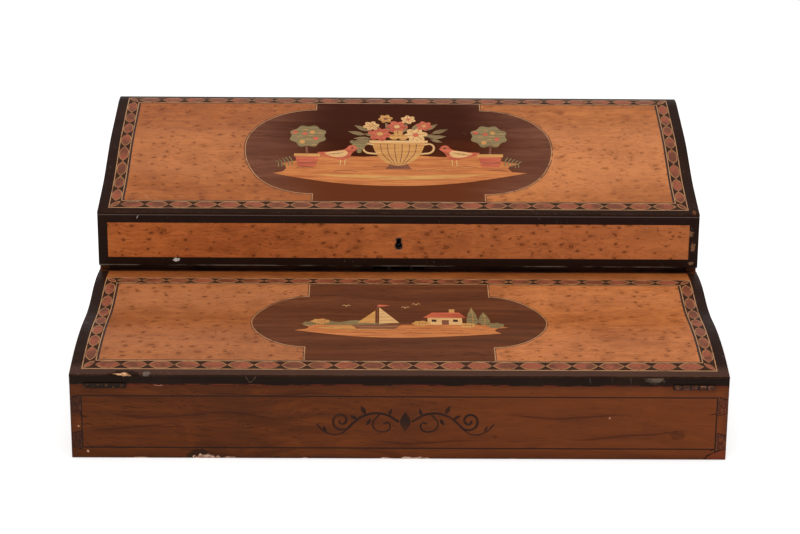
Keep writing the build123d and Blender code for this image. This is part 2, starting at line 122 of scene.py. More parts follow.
def calc(operation, a, b=0.0, c=0.0):
    """One sum on one or more numbers."""
    return add("ShaderNodeMath", {0: a, 1: b, 2: c}, operation=operation)[0]


def tint(amount, under, over):
    """One colour laid over another."""
    return add("ShaderNodeMix", {0: amount, 6: under, 7: over}, data_type="RGBA")[2]


def stretch(place, amounts):
    """The same place on a stretched grid, for streaks that run one way."""
    return add("ShaderNodeVectorMath", {0: place, 1: amounts}, operation="MULTIPLY")[0]


def noise(place, scale, detail=3.0, roughness=0.5, distortion=0.0):
    """Cloudy variation between 0 and 1. Three scales, one for each axis, draw it out into streaks."""
    if isinstance(scale, tuple):
        place, scale = stretch(place, scale), 1.0
    return add("ShaderNodeTexNoise", {"Vector": place, "Scale": scale, "Detail": detail, "Roughness": roughness,
                                      "Distortion": distortion})["Fac"]


def finish(name):
    """A new material: itself, its shader and the place on the piece in metres."""
    material = bpy.data.materials.new(name)
    material.use_nodes = True
    tree = material.node_tree
    return material, tree.nodes["Principled BSDF"].inputs, add("ShaderNodeTexCoord", {}, tree)["Object"]


def seen_straight(tree):
    """1 for what the camera sees, also in a reflection or through glass, and 0 for the light on the piece."""
    rays = add("ShaderNodeLightPath", {}, tree)
    return rays["Is Camera Ray"] + (rays["Is Glossy Ray"] + rays["Is Transmission Ray"])


camera = bpy.data.cameras.new("camera")
camera.sensor_width = 36
camera.lens = 85.725
camera_stand = bpy.data.objects.new("camera", camera)
bpy.context.scene.collection.objects.link(camera_stand)
looking = Matrix.Rotation(math.radians(-0.613), 4, "Z") @ Matrix.Rotation(math.radians(74.551), 4, "X")
looking = looking @ Matrix.Rotation(math.radians(0.433), 4, "Z")
camera_stand.matrix_world = Matrix.Translation((-0.01217, -1.22526, 0.42373)) @ looking
bpy.context.scene.camera = camera_stand

bpy.ops.object.select_all(action="DESELECT")
bpy.ops.mesh.primitive_plane_add(size=14, location=(0, 0, -0.0002))
floor = bpy.context.object
floor.name = "floor"
bpy.ops.object.transform_apply(location=True, rotation=True, scale=True)
white_sheet, shader, place = finish("white sheet")
shader["Roughness"].default_value = 0.9
shader["Specular IOR Level"].default_value = 0.0
plug(shader["Base Color"], tint(noise(place, 3.0), rgb(226, 226, 226), rgb(229, 229, 229)))
shader["Emission Color"].default_value = (1, 1, 1, 1)
plug(shader["Emission Strength"], seen_straight(place.tree) * 0.5)
floor.data.materials.append(white_sheet)

room = bpy.data.worlds.new("white room")
room.use_nodes = True
bpy.context.scene.world = room
glow = room.node_tree.nodes["Background"].inputs
glow["Color"].default_value = (1, 1, 1, 1)
plug(glow["Strength"], seen_straight(room.node_tree) * 0.4 + 0.6)

for lamp_name, spot, turn, size, power in (
        ("lamp_overhead", (0.1, -0.35, 1.7), (math.radians(-11), math.radians(3), 0), 1.8, 13),
        ("lamp_front", (-0.7, -1.9, 1.25), (math.radians(60), 0, math.radians(-20)), 1.0, 6)):
    lamp = bpy.data.lights.new(lamp_name, "AREA")
    lamp.size = size
    lamp.energy = power
    stand = bpy.data.objects.new(lamp_name, lamp)
    stand.location = spot
    stand.rotation_euler = turn
    bpy.context.scene.collection.objects.link(stand)

bpy.context.scene.view_settings.view_transform = "Standard"


# Front board of the base. Walnut, planed and stained red-brown, 6.5 mm thick, with the grain along it.
# Two dovetails at each end hold it to the side boards. Its lower edge is bruised and has lost stain.

def fade(value, low, high):
    """A soft step from 0 at low to 1 at high."""
    return add("ShaderNodeMapRange", {"Value": value, "From Min": low, "From Max": high},
               interpolation_type="SMOOTHSTEP")["Result"]


def larger(a, b):
    """The larger of two numbers."""
    return calc("MAXIMUM", a, b)


def smaller(a, b):
    """The smaller of two numbers."""
    return calc("MINIMUM", a, b)


def parts(place):
    """The X, Y and Z of a place."""
    return add("ShaderNodeSeparateXYZ", {0: place})


def place_at(x=0.0, y=0.0, z=0.0):
    """A place from its X, Y and Z."""
    return add("ShaderNodeCombineXYZ", {0: x, 1: y, 2: z})[0]


def vector_calc(operation, a, b=(0, 0, 0), scale=1.0):
    """One sum on places. A length, a distance or a dot product gives a number."""
    gives = "Value" if operation in ("LENGTH", "DISTANCE", "DOT_PRODUCT") else "Vector"
    return add("ShaderNodeVectorMath", {0: a, 1: b, 3: scale}, operation=operation)[gives]


def effect(name, takes, gives):
    """An empty group of nodes: its tree, the place and whatever else comes in, and what goes out."""
    tree = bpy.data.node_groups.new(name, "ShaderNodeTree")
    for label, kind, value in [("Place", vector, None)] + takes:
        socket = tree.interface.new_socket(label, in_out="INPUT", socket_type=kind)
        if value is not None:
            socket.default_value = value
    for label, kind in gives:
        tree.interface.new_socket(label, in_out="OUTPUT", socket_type=kind)
    taken = add("NodeGroupInput", {}, tree)
    return tree, taken["Place"], taken, tree.nodes.new("NodeGroupOutput").inputs


def use(group, **feeds):
    """Places a group in a material."""
    return add("ShaderNodeGroup", feeds, node_tree=group)


colour, number, vector = "NodeSocketColor", "NodeSocketFloat", "NodeSocketVector"

long_grain, place, taken, given = effect(
    "long grain",
    [("Pale", colour, rgb(130, 75, 42)), ("Deep", colour, rgb(90, 48, 26)),
     ("Pore", colour, rgb(48, 24, 14)), ("Rings", number, 34.0), ("Pores", number, 0.6)],
    [("Colour", colour), ("Height", number)])
sway = noise(place, 7.0, 2.0) * 0.034 - 0.017
shift = place_at(y=sway, z=sway)
swayed = vector_calc("ADD", place, shift)
growth = noise(swayed, (1.7, 22, 22), 2.0, 0.45, 0.3)
rings = calc("SINE", growth * taken["Rings"])
crest = fade(rings, 0.86, 1.0) * 0.34
rings = fade(rings, -1.0, 1.35)
streaks = noise(swayed, (5, 190, 190), 4.0, 0.6)
fibres = noise(place, (28, 1500, 1500), 2.0)
figure = streaks * 1.15 + rings * 0.2 - 0.16
pores = fade(noise(swayed, (70, 1300, 1300), 1.0), 0.60, 0.72) * taken["Pores"]
wood = tint(fade(figure, 0.1, 0.95), taken["Deep"], taken["Pale"])
wood = tint(fade(fibres, 0.35, 0.8) * 0.16, wood, taken["Pore"])
wood = tint(crest, wood, taken["Deep"])
plug(given["Colour"], tint(pores, wood, taken["Pore"]))
plug(given["Height"], figure - pores * 0.7)

rubbed_arris, place, taken, given = effect(
    "rubbed arris",
    [("Low", vector, None), ("High", vector, None), ("Width", number, 0.001), ("Ragged", number, 0.002)],
    [("Mask", number), ("Broad", number)])
deep = parts(vector_calc("MINIMUM", vector_calc("SUBTRACT", place, taken["Low"]),
                         vector_calc("SUBTRACT", taken["High"], place)))
second_nearest = larger(smaller(deep[0], deep[1]), smaller(larger(deep[0], deep[1]), deep[2]))
across = ((noise(place, 160.0, 4.0, 0.6) - 0.42) * taken["Ragged"] + second_nearest) / taken["Width"]
plug(given["Mask"], 1.0 - fade(across, 0.25, 1.0))
plug(given["Broad"], 1.0 - fade(across, 0.0, 5.0))

handled, place, taken, given = effect(
    "handled surface",
    [("Base", number, 0.4)],
    [("Roughness", number), ("Grime", number), ("Scratches", number)])
clouds = noise(place, 24.0, 4.0, 0.6)
smears = noise(place, (40, 130, 130), 3.0, 0.6)
tilted = add("ShaderNodeVectorRotate", {"Vector": place, "Angle": 0.9}, rotation_type="Z_AXIS")[0]
scratched = fade(noise(tilted, (12, 1900, 300), 1.0), 0.70, 0.76) * fade(clouds, 0.5, 0.62)
plug(given["Scratches"], scratched)
plug(given["Grime"], fade(clouds, 0.46, 0.72))
plug(given["Roughness"], scratched * 0.15 + (smears - 0.5) * 0.35 + taken["Base"])


def corner(node):
    """The lowest and highest corners of a CAD node as plain numbers."""
    low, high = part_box(node)
    return tuple(low), tuple(high)


def coat(shader, colour, roughness, specular=0.1, height=None, depth=0.0):
    """The last layer of a finish. A height shows as relief, in parts of a depth in metres."""
    plug(shader["Base Color"], colour)
    plug(shader["Roughness"], roughness)
    shader["Specular IOR Level"].default_value = specular
    if height:
        plug(shader["Normal"], add("ShaderNodeBump", {"Height": height, "Distance": depth})[0])


def dress(material, *names):
    """Gives a finish to CAD nodes."""
    for name in names:
        nodes[name].material_slots[0].material = material


def round_patch(place, centre, radii, ragged=0.5, scale=220.0, split=1.0):
    """A patch of torn outline around a point: 1 inside, 0 outside. Radii are in metres.

    A split above 1 tears it into splinters along X.
    """
    moved = stretch(vector_calc("SUBTRACT", place, centre), tuple(1 / radius for radius in radii))
    torn = noise(stretch(place, (1 / split, split, split)), scale, 4.0, 0.7) - 0.5
    return 1.0 - fade(torn * (ragged * 2.4) + vector_calc("LENGTH", moved), 0.92, 1.08)


def stroke(place, start, end, width):
    """A thin mark that tapers from one point to another: 1 on it, 0 beside it. All in metres."""
    start, end = Vector(start), Vector(end)
    from_start = vector_calc("SUBTRACT", place, start)
    run = vector_calc("DOT_PRODUCT", from_start, (end - start) / (end - start).length_squared)
    run = smaller(larger(run, 0.0), 1.0)
    foot = vector_calc("SCALE", end - start, scale=run)
    off = vector_calc("DISTANCE", from_start, foot)
    torn = noise(place, 900.0, 2.0) * 0.8 + 0.6
    return 1.0 - fade(off * torn / (run * (-0.75 * width) + width), 0.7, 1.3)


front_plane = -0.1327       # the box's front, in metres before its middle
side_arris, end_arris = 0.1998, 0.1326      # an arris farther from the middle than these is an outer one


def scored(wood, place, colour, strength, width, *marks):
    """Thin marks on the box's front, each from one point to another: X, Z, X, Z in millimetres."""
    for x, z, to_x, to_z in marks:
        mark = stroke(place, (x / 1000, front_plane, z / 1000), (to_x / 1000, front_plane, to_z / 1000), width)
        wood = tint(mark * strength, wood, colour)
    return wood


def front_patch(place, x, z, wide, high, ragged=0.5, scale=220.0, split=1.0):
    """A round patch on the box's front. Where it is and how far it reaches are in millimetres."""
    centre, radii = (x / 1000, front_plane, z / 1000), (wide / 1000, 0.004, high / 1000)
    return round_patch(place, centre, radii, ragged, scale, split)


def switch(mode):
    """Takes the active piece into edit mode or back out of it."""
    bpy.ops.object.mode_set(mode=mode)


def pick(kind, test):
    """In edit mode, selects only the vertices or faces that pass a test."""
    mesh = bpy.context.object.data
    bpy.ops.mesh.select_mode(type="VERT" if kind == "vertices" else "FACE")
    bpy.ops.mesh.select_all(action="DESELECT")
    switch("OBJECT")
    for element in mesh.vertices if kind == "vertices" else mesh.polygons:
        element.select = bool(test(element))
    switch("EDIT")


def only(*chosen):
    """Selects these pieces alone, with the first active."""
    bpy.ops.object.select_all(action="DESELECT")
    for piece in chosen:
        piece.select_set(True)
    bpy.context.view_layer.objects.active = chosen[0]


def dress_eased(material, node, body, width, open_to_touch):
    """Gives a finish to a board and to its merged copy with the open arrises rounded by wear, which stands for it.

    An arris is eased where its two faces meet at more than 40 degrees and its middle passes the test,
    which gets the middle and the more upward of the two face normals.
    """
    board = bpy.data.objects.new(node + "_eased", nodes[node].data.copy())
    bpy.context.scene.collection.objects.link(board)
    only(board)
    bpy.ops.mesh.customdata_custom_splitnormals_clear()
    switch("EDIT")
    bpy.ops.mesh.select_all(action="SELECT")
    bpy.ops.mesh.remove_doubles(threshold=0.000002)
    bpy.ops.mesh.dissolve_limited(angle_limit=math.radians(0.3))
    bpy.ops.mesh.select_mode(type="EDGE")
    bpy.ops.mesh.select_all(action="DESELECT")
    switch("OBJECT")
    mesh = board.data
    facing = {}
    for face in mesh.polygons:
        for key in face.edge_keys:
            facing.setdefault(key, []).append(face.normal)
    for edge in mesh.edges:
        normals = facing[edge.key]
        middle = (mesh.vertices[edge.vertices[0]].co + mesh.vertices[edge.vertices[1]].co) / 2
        edge.select = (len(normals) == 2 and normals[0].angle(normals[1], 0) > math.radians(40)
                       and open_to_touch(middle, max(normals, key=lambda normal: normal.z)))
    switch("EDIT")
    bpy.ops.mesh.bevel(offset=width, segments=3, affect="EDGES", clamp_overlap=True)
    switch("OBJECT")
    bpy.ops.object.shade_smooth_by_angle(angle=math.radians(32))
    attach(board, body)
    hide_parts(node)
    board.material_slots[0].material = material
    dress(material, node)


dovetail_joint, place, taken, given = effect("dovetail joint", [], [("Joint", number)])
spot = parts(place)
pin_pitch = 0.023
from_pin = pin_pitch / 2 - calc("PINGPONG", spot[2], pin_pitch / 2)
from_end = 0.2 - abs(spot[0])
flank = from_end * (1.8 / 6.5) + 0.00425
flank_line = fade(abs(from_pin - flank), 0.0004, 0.00015) * fade(from_end, 0.0068, 0.0064)
shoulder_line = fade(abs(from_end - 0.0065), 0.0005, 0.0002) * fade(from_pin, 0.0063, 0.0060)
on_front = fade(spot[1], -0.1312, -0.1316)
plug(given["Joint"], larger(flank_line, shoulder_line) * on_front)

red_walnut, shader, place = finish("red-brown walnut")
low, high = corner("base_front_board")
grain = use(long_grain, Place=place, Pale=rgb(117, 58, 22), Deep=rgb(80, 38, 13), Pore=rgb(46, 21, 9), Rings=110.0,
            Pores=0.62)
shade = noise(place, (5, 14, 14), 2.0)
wood = tint(fade(shade, 0.35, 0.75) * 0.4, grain["Colour"], rgb(108, 52, 20))
spot = parts(place)
wood = tint(fade(spot[0], -0.12, 0.19) * 0.42, wood, rgb(142, 72, 34))
waver = noise(place, (26, 8, 8), 2.0) * 0.006 - 0.003
for start, stop, height, rise, sag in (
        (-0.181, -0.062, 0.0295, -0.03, 0.0016), (-0.194, -0.126, 0.0185, 0.08, 0.0006),
        (-0.120, -0.030, 0.0420, -0.02, 0.0010), (0.060, 0.150, 0.0300, -0.05, 0.0016),
        (0.100, 0.185, 0.0130, 0.06, 0.0012), (-0.02, 0.06, 0.0105, 0.02, 0.0008)):
    run = spot[0] - start
    course = run * rise + height
    course = calc("SINE", run * 62.0) * (-sag) + course
    off = abs(spot[2] + waver - course)
    window = fade(spot[0], start, start + 0.02) * fade(spot[0], stop, stop - 0.03)
    dark_course = 1.0 - fade(off, 0.0001, 0.0009)
    wood = tint(dark_course * window * 0.55, wood, rgb(50, 20, 9))
    beside = fade(off, 0.004, 0.0008) * window
    wood = tint(beside * 0.15, wood, rgb(62, 27, 12))
for x, z, size in ((58.5, 14.5, 0.9), (170, 16, 3)):
    wood = tint(front_patch(place, x, z, size * 1.6, size, 0.9, 300.0) * 0.4, wood, rgb(52, 22, 14))

edge = use(rubbed_arris, Place=place, Low=low, High=high, Width=0.0011, Ragged=0.0035)
wood = tint(edge["Broad"] * 0.4, wood, rgb(62, 28, 14))
wood = tint(edge["Mask"] * 0.4, wood, rgb(40, 20, 13))
wood = tint(use(dovetail_joint, Place=place)["Joint"] * 0.85, wood, rgb(24, 12, 9))
torn_red = fade(noise(place, (70, 500, 500)), 0.42, 0.56)
top_red = fade(spot[2], high[2] - 0.0014, high[2] - 0.0006) * torn_red
wood = tint(top_red * 0.65, wood, rgb(138, 50, 34))
splinters = fade(noise(place, (210, 1500, 1500), 2.0), 0.60, 0.68) * fade(spot[0], -0.03, -0.10)
splinters = splinters * fade(spot[2], high[2] - 0.0012, high[2] - 0.0005)
wood = tint(splinters * 0.8, wood, rgb(214, 152, 116))
crack_run = larger(spot[0] - 0.187, 0.0) / 0.013
below = calc("SQRT", crack_run) * 0.0075 - spot[2]
mended = fade(below, 0.0, 0.0008) * fade(spot[0], 0.187, 0.1885)
wood = tint(mended * 0.4, wood, rgb(136, 54, 34))
wood = scored(wood, place, rgb(20, 9, 6), 1.0, 0.00055, (186.5, 0, 188.5, 2.6), (188.5, 2.6, 193, 5.1),
              (193, 5.1, 200, 7.5))
wood = scored(wood, place, rgb(30, 13, 9), 0.8, 0.0005, (190.5, 6.2, 194.5, 6.8), (-193.5, 27.5, -190.5, 26),
              (193.5, 30, 187.5, 29))
top = high[2] * 1000
wood = scored(wood, place, rgb(220, 150, 122), 0.8, 0.0004, (-149.2, top - 0.5, -145.8, top - 1.4),
              (-143.6, top - 0.6, -145.8, top - 1.4), (-140, top - 0.4, -134.5, top - 0.6))
flaked = larger(front_patch(place, -117.5, 0, 8, 2.4, 0.9, 300.0), front_patch(place, -104, 0, 4, 1.3, 0.6))
for x, wide, tall in ((9, 8.5, 1.3), (-10, 6, 0.9), (-58, 1.8, 0.9), (-157, 5, 0.6), (70, 3, 0.5)):
    flaked = larger(flaked, front_patch(place, x, 0, wide, tall, 0.9, 320.0, 1.4))
wood = tint(front_patch(place, -122, 1.5, 7, 4.2, 0.7) * 0.75, wood, rgb(34, 18, 13))
torn_wood = fade(noise(place, (260, 1800, 1800), 2.0), 0.36, 0.62)
wood = tint(flaked, wood, tint(torn_wood, rgb(132, 68, 42), rgb(238, 198, 172)))
for x, z, size in ((-190, 4.3, 0.8), (128, 26.8, 0.6), (-195.2, 20.5, 0.5)):
    wood = tint(front_patch(place, x, z, size, size, 0.6, 700.0), wood, rgb(206, 152, 124))
grime = use(handled, Place=place, Base=0.42)
wood = tint(grime["Grime"] * 0.22, wood, rgb(50, 27, 18))
wood = tint(grime["Scratches"] * 0.25, wood, rgb(150, 100, 68))
coat(shader, wood, flaked * 0.4 + grime["Roughness"], 0.1, grain["Height"] - flaked * 1.2, 0.00022)
dress_eased(red_walnut, "base_front_board", "root", 0.0005,
            lambda middle, up: middle.y < -end_arris and (abs(middle.x) > side_arris or middle.z < 0.0002))


# Side boards and back of the base. The same walnut, browner where hands have held the box, with the
# grain along each board. The pins of the dovetails show as dark end grain at the front and the back.

def lengthways(place, turn=(0, 0, 0), shift=(0, 0, 0)):
    """Turns the place so that the grain runs along another axis, and shifts it to another plank."""
    return add("ShaderNodeMapping", {"Vector": place, "Rotation": turn, "Location": shift}, vector_type="POINT")[0]


def walnut_board(name, node, turn, shift, pale, deep, end_faces=None):
    """Walnut for one board whose grain is turned its own way. End faces are the two colours of its end grain."""
    material, shader, place = finish(name)
    low, high = corner(node)
    grain = use(long_grain, Place=lengthways(place, turn, shift), Pale=pale, Deep=deep, Pore=rgb(46, 24, 15),
                Rings=40.0, Pores=0.5)
    wood = grain["Colour"]
    if end_faces:
        along = parts(place)[1]
        ends = larger(fade(along, low[1] + 0.0003, low[1]), fade(along, high[1] - 0.0003, high[1]))
        end_grain = tint(fade(noise(place, (900, 60, 420)), 0.35, 0.7), *end_faces)
        wood = tint(ends, wood, end_grain)
        wood = tint(use(dovetail_joint, Place=place)["Joint"] * 0.85, wood, rgb(24, 12, 9))
    edge = use(rubbed_arris, Place=place, Low=low, High=high, Width=0.0009, Ragged=0.003)
    wood = tint(edge["Broad"] * 0.35, wood, rgb(55, 29, 19))
    wood = tint(edge["Mask"] * 0.35, wood, rgb(150, 96, 60))
    grime = use(handled, Place=place, Base=0.45)
    wood = tint(grime["Grime"] * 0.28, wood, rgb(46, 26, 18))
    wood = tint(grime["Scratches"] * 0.35, wood, rgb(156, 108, 74))
    coat(shader, wood, grime["Roughness"], 0.1, grain["Height"], 0.0002)
    return material


quarter = math.radians(90)

for side, shift, pale, deep, ends in (
        ("left", (0.3, 0.1, 0.2), rgb(120, 64, 32), rgb(78, 40, 20), (rgb(46, 26, 17), rgb(90, 46, 27))),
        ("right", (0.7, 0.4, 0.1), rgb(124, 64, 31), rgb(80, 40, 19), (rgb(78, 38, 22), rgb(126, 64, 38)))):
    dress_eased(walnut_board("walnut of the " + side + " side", "base_side_" + side, (0, 0, quarter), shift,
                             pale, deep, ends), "base_side_" + side, "root", 0.0005,
                lambda middle, up: abs(middle.x) > side_arris and (middle.z < 0.0002 or abs(middle.y) > end_arris))


def on_lid_axis(middle):
    """Whether an arris lies on the rear hinges' axis, where both back boards meet."""
    axis = Vector(next(joint["pos_m"] for joint in frame["joints"] if joint["name"] == "lid_hinge"))
    return (middle.yz - axis.yz).length < 0.00002


dress_eased(walnut_board("walnut of the back", "base_back_board", (0, 0, 0), (0.9, 0.2, 0.5), rgb(114, 62, 34),
                         rgb(76, 40, 22)), "base_back_board", "root", 0.0005,
            lambda middle, up: on_lid_axis(middle) or middle.y > end_arris and (
                abs(middle.x) > side_arris or middle.z < 0.0002))


# Bottom board, rail and letter dividers. Softwood, left unpolished and browned by age, with resin-dark
# growth lines. The bottom is nailed up into the walls, and the dividers slide in grooves in the sides.

def softwood_board(name, node, shift, pale=(196, 152, 104), deep=(150, 102, 62), shaded_top=False):
    """Old unpolished softwood on one board, stained where it shows outside, and with painted shade at a shaded top.
    """
    material, shader, place = finish(name)
    low, high = corner(node)
    grain = use(long_grain, Place=lengthways(place, shift=shift), Pale=rgb(*pale), Deep=rgb(*deep),
                Pore=rgb(120, 76, 45), Rings=90.0, Pores=0.3)
    edge = use(rubbed_arris, Place=place, Low=low, High=high, Width=0.0014, Ragged=0.004)
    grime = use(handled, Place=place, Base=0.62)
    wood = tint(edge["Broad"] * 0.4, grain["Colour"], rgb(104, 68, 42))
    wood = tint(grime["Grime"] * 0.4, wood, rgb(110, 76, 50))
    spot = parts(place)
    stained = larger(fade(abs(spot[0]), 0.1996, 0.1999), fade(spot[1], 0.1323, 0.1326))
    # Painted shade: a shaded top is darkened like the stain, for the rail in the dark gap under the lid.
    if shaded_top:
        upper = noise(place, 60.0) * 0.004 + spot[2]
        stained = larger(stained, fade(upper, high[2] - 0.0135, high[2] - 0.0115))
    streaky = tint(fade(noise(place, (60, 60, 500)), 0.3, 0.7), rgb(36, 17, 10), rgb(66, 34, 19))
    wood = tint(stained, wood, streaky)
    coat(shader, wood, grime["Roughness"], 0.1, grain["Height"], 0.0003)
    dress(material, node)


softwood_board("softwood of the bottom", "base_bottom_board", (0.2, 0.6, 0.1))
softwood_board("softwood of the rail", "compartment_rail", (0.5, 0.1, 0.3), (186, 138, 92), (140, 94, 58), True)
for step, divider in enumerate(("letter_divider_front", "letter_divider_middle", "letter_divider_rear")):
    softwood_board("softwood of " + divider.replace("_", " "), divider, (0.4 * step, 0.3, 0.2 * step),
                   (188, 138, 90), (142, 94, 57))


# Iron nails under the bottom board. Short wire nails with flat round heads, driven flush through the
# board's edges into the walls, and rusted in spots.

rusted_iron, shader, place = finish("rusted iron")
rust = fade(noise(place, 900.0, 5.0, 0.65), 0.42, 0.6)
plug(shader["Metallic"], 1.0 - rust)
coat(shader, tint(rust, rgb(92, 88, 84), rgb(104, 60, 36)), rust * 0.35 + 0.45, 0.5, rust, 0.0001)
dress(rusted_iron, "bottom_nails")


# Dark line let into the front board. A strip of ebonised pearwood 0.8 mm wide in a sawn groove, a
# frame just inside the board's edges.

ebonised, place, taken, given = effect(
    "ebonised pearwood",
    [("Along", vector, None), ("Dark", colour, rgb(36, 25, 22)), ("Worn", colour, rgb(74, 50, 38))],
    [("Colour", colour), ("Roughness", number), ("Height", number)])
fine = noise(taken["Along"], (14, 420, 420), 4.0, 0.6)
faded = fade(noise(place, 34.0, 4.0, 0.6), 0.5, 0.8)
stain = tint(faded * 0.35 + fine * 0.3, taken["Dark"], taken["Worn"])
plug(given["Colour"], stain)
plug(given["Roughness"], fine * 0.25 + 0.24)
plug(given["Height"], fine)


def ebonised_strip(name, dark, worn, roughness_lift):
    """A plain ebonised finish for a line."""
    material, shader, place = finish(name)
    stain = use(ebonised, Place=place, Along=place, Dark=dark, Worn=worn)
    coat(shader, stain["Colour"], stain["Roughness"] + roughness_lift, 0.1, stain["Height"], 0.00008)
    return material


dress(ebonised_strip("ebonised line of the front", rgb(38, 22, 16), rgb(70, 38, 24), 0.15), "front_line_inlay")


# Hinges. Four small brass butts with five knuckles, let in at the seams and screwed. The front pair is
# brown with old polish and dirt, and only high spots still shine.

aged_brass, place, taken, given = effect(
    "aged brass",
    [("Bright", colour, rgb(168, 132, 78)), ("Dull", colour, rgb(70, 54, 38)), ("Tarnish", number, 0.5)],
    [("Colour", colour), ("Metallic", number), ("Roughness", number), ("Height", number)])
blotches = noise(place, 760.0, 5.0, 0.7)
tarnish = fade(blotches + taken["Tarnish"] - 0.5, 0.38, 0.62)
rub = noise(place, (300, 2500, 2500), 2.0)
plug(given["Colour"], tint(tarnish, taken["Bright"], taken["Dull"]))
plug(given["Metallic"], 1.0 - tarnish * 0.55)
plug(given["Roughness"], tarnish * 0.3 + rub * 0.2 + 0.22)
plug(given["Height"], tarnish + rub)


def brass(name, bright, dull, tarnish, shade_at=None, knuckles_of=None):
    """Brass for one kind of fitting, with painted shade round one spot or between the knuckles of one hinge."""
    material, shader, place = finish(name)
    metal = use(aged_brass, Place=place, Bright=bright, Dull=dull, Tarnish=tarnish)
    # Painted shade: near-black round the keyhole, or along the seams between the knuckles.
    painted_shade = round_patch(place, shade_at, (0.006, 0.02, 0.008), 0.3) if shade_at else 0.0
    if knuckles_of:
        low, high = corner(knuckles_of)
        pitch = (high[0] - low[0]) / 5
        seam = calc("PINGPONG", parts(place)[0] - low[0], pitch / 2)
        painted_shade = fade(seam, 0.0007, 0.0003) * 0.9
    plug(shader["Metallic"], metal["Metallic"] * (1.0 - painted_shade))
    coat(shader, tint(painted_shade, metal["Colour"], rgb(12, 8, 6)), metal["Roughness"], 0.2, metal["Height"], 0.00005)
    return material


for name, side, bright, dull, tarnish, pins in (
        ("black-brown brass of the left hinge", "left", rgb(142, 96, 56), rgb(32, 16, 8), 0.66, ()),
        ("rubbed brass of the right hinge", "right", rgb(160, 110, 84), rgb(62, 33, 22), 0.61, ("flap_hinge_pins",))):
    leaves = ["flap_hinge_" + side + "_base_leaf", "flap_hinge_" + side + "_flap_leaf"]
    dress(brass(name, bright, dull, tarnish, knuckles_of=leaves[0]), *leaves, *pins)
dress(brass("brass of the rear hinges", rgb(176, 140, 84), rgb(84, 62, 40), 0.5),
      "lid_hinge_left_base_leaf", "lid_hinge_left_lid_leaf", "lid_hinge_right_base_leaf",
      "lid_hinge_right_lid_leaf", "lid_hinge_pins")
dress(brass("brass of the screws", rgb(184, 150, 92), rgb(92, 70, 44), 0.42), "base_screws", "flap_screws",
      "lid_screws")


# Flap boards. A softwood core 330 mm long with walnut clamps tongued across its ends, shaped to an
# ogee on top. An ebonised lipping 2 mm thick covers their front edge.

softwood_board("softwood of the flap", "flap_core_board", (0.1, 0.9, 0.4), (184, 134, 88), (138, 92, 56))
for side, shift in (("left", (0.2, 0.8, 0.6)), ("right", (0.6, 0.5, 0.9))):
    dress(walnut_board("walnut of the " + side + " clamp", "flap_clamp_" + side, (0, 0, quarter), shift,
                       rgb(112, 64, 38), rgb(72, 39, 23)), "flap_clamp_" + side)


def bare_star(place):
    """Splinters torn out round one spot of the flap's front arris: pale bare wood in thin rays."""
    middle = Vector((-0.1668, -0.1322, 0.0535))
    rays = 0.0
    for east, north, down, width in ((-9.2, 0.4, 0, 0.9), (9.2, 0, 1.3, 0.8), (-4.6, 3.8, 0, 0.9), (5, 4, 0, 0.9),
                                     (0.6, 5.4, 0, 1.1), (-3.6, 0, 1.8, 0.5), (3, 0, 2.2, 0.6), (7.8, 2, 0, 0.6),
                                     (-6.4, 0, 1.2, 0.5), (-3, 1.4, 0, 0.9), (3, 1.2, 0, 0.9)):
        rays = larger(rays, stroke(place, middle, middle + Vector((east, north, -down)) / 1000, width / 1000))
    return rays


black_lipping, shader, place = finish("ebonised lipping")
low, high = corner("flap_front_lipping")
stain = use(ebonised, Place=place, Along=place, Dark=rgb(28, 17, 12), Worn=rgb(56, 36, 26))
edge = use(rubbed_arris, Place=place, Low=low, High=high, Width=0.0007, Ragged=0.003)
wood = tint(edge["Mask"] * 0.35, stain["Colour"], rgb(120, 84, 60))
rubbed_low = fade(parts(place)[2], 0.0482, 0.0474) * fade(noise(place, (50, 400, 400)), 0.46, 0.58)
wood = tint(rubbed_low * 0.6, wood, rgb(140, 60, 42))
wood = scored(wood, place, rgb(112, 86, 70), 0.7, 0.0003, (-93.6, 53.2, -91.2, 49), (-86.8, 53, -90, 48.8),
              (-93.6, 53.2, -86.8, 53.1), (-91.2, 49.2, -89.6, 49.4))
for at, width, strength in ((114.9, 0.0006, 0.28), (139.7, 0.0004, 0.36), (128.5, 0.0003, 0.2)):
    wood = scored(wood, place, rgb(106, 94, 84), strength, width, (at, 53.4, at + 0.6, 48.6))
scuffed = 0.0
for x, wide, tall in ((154.5, 6, 3), (155.2, 4.6, 2.2), (156, 3, 1.4)):
    scuffed = front_patch(place, x, 52, wide, tall, 1.0, 520.0) * 0.22 + scuffed
wood = tint(scuffed, wood, rgb(126, 106, 90))
splinter = bare_star(place)
wood = tint(splinter, wood, tint(fade(noise(place, 1500.0, 2.0), 0.35, 0.62), rgb(138, 72, 36), rgb(250, 196, 146)))
coat(shader, wood, splinter * 0.4 + stain["Roughness"], 0.05, stain["Height"] - splinter * 2.0, 0.00012)
dress_eased(black_lipping, "flap_front_lipping", "flap", 0.0003,
            lambda middle, up: middle.y < -end_arris and (abs(middle.x) > side_arris or middle.z < 0.0472))


# Writing leather under the flap. Thin dark red skiver glued into the core, 0.5 mm thick, with a gilt
# line rolled near its edge. Opening the flap turns it up as a writing slope.

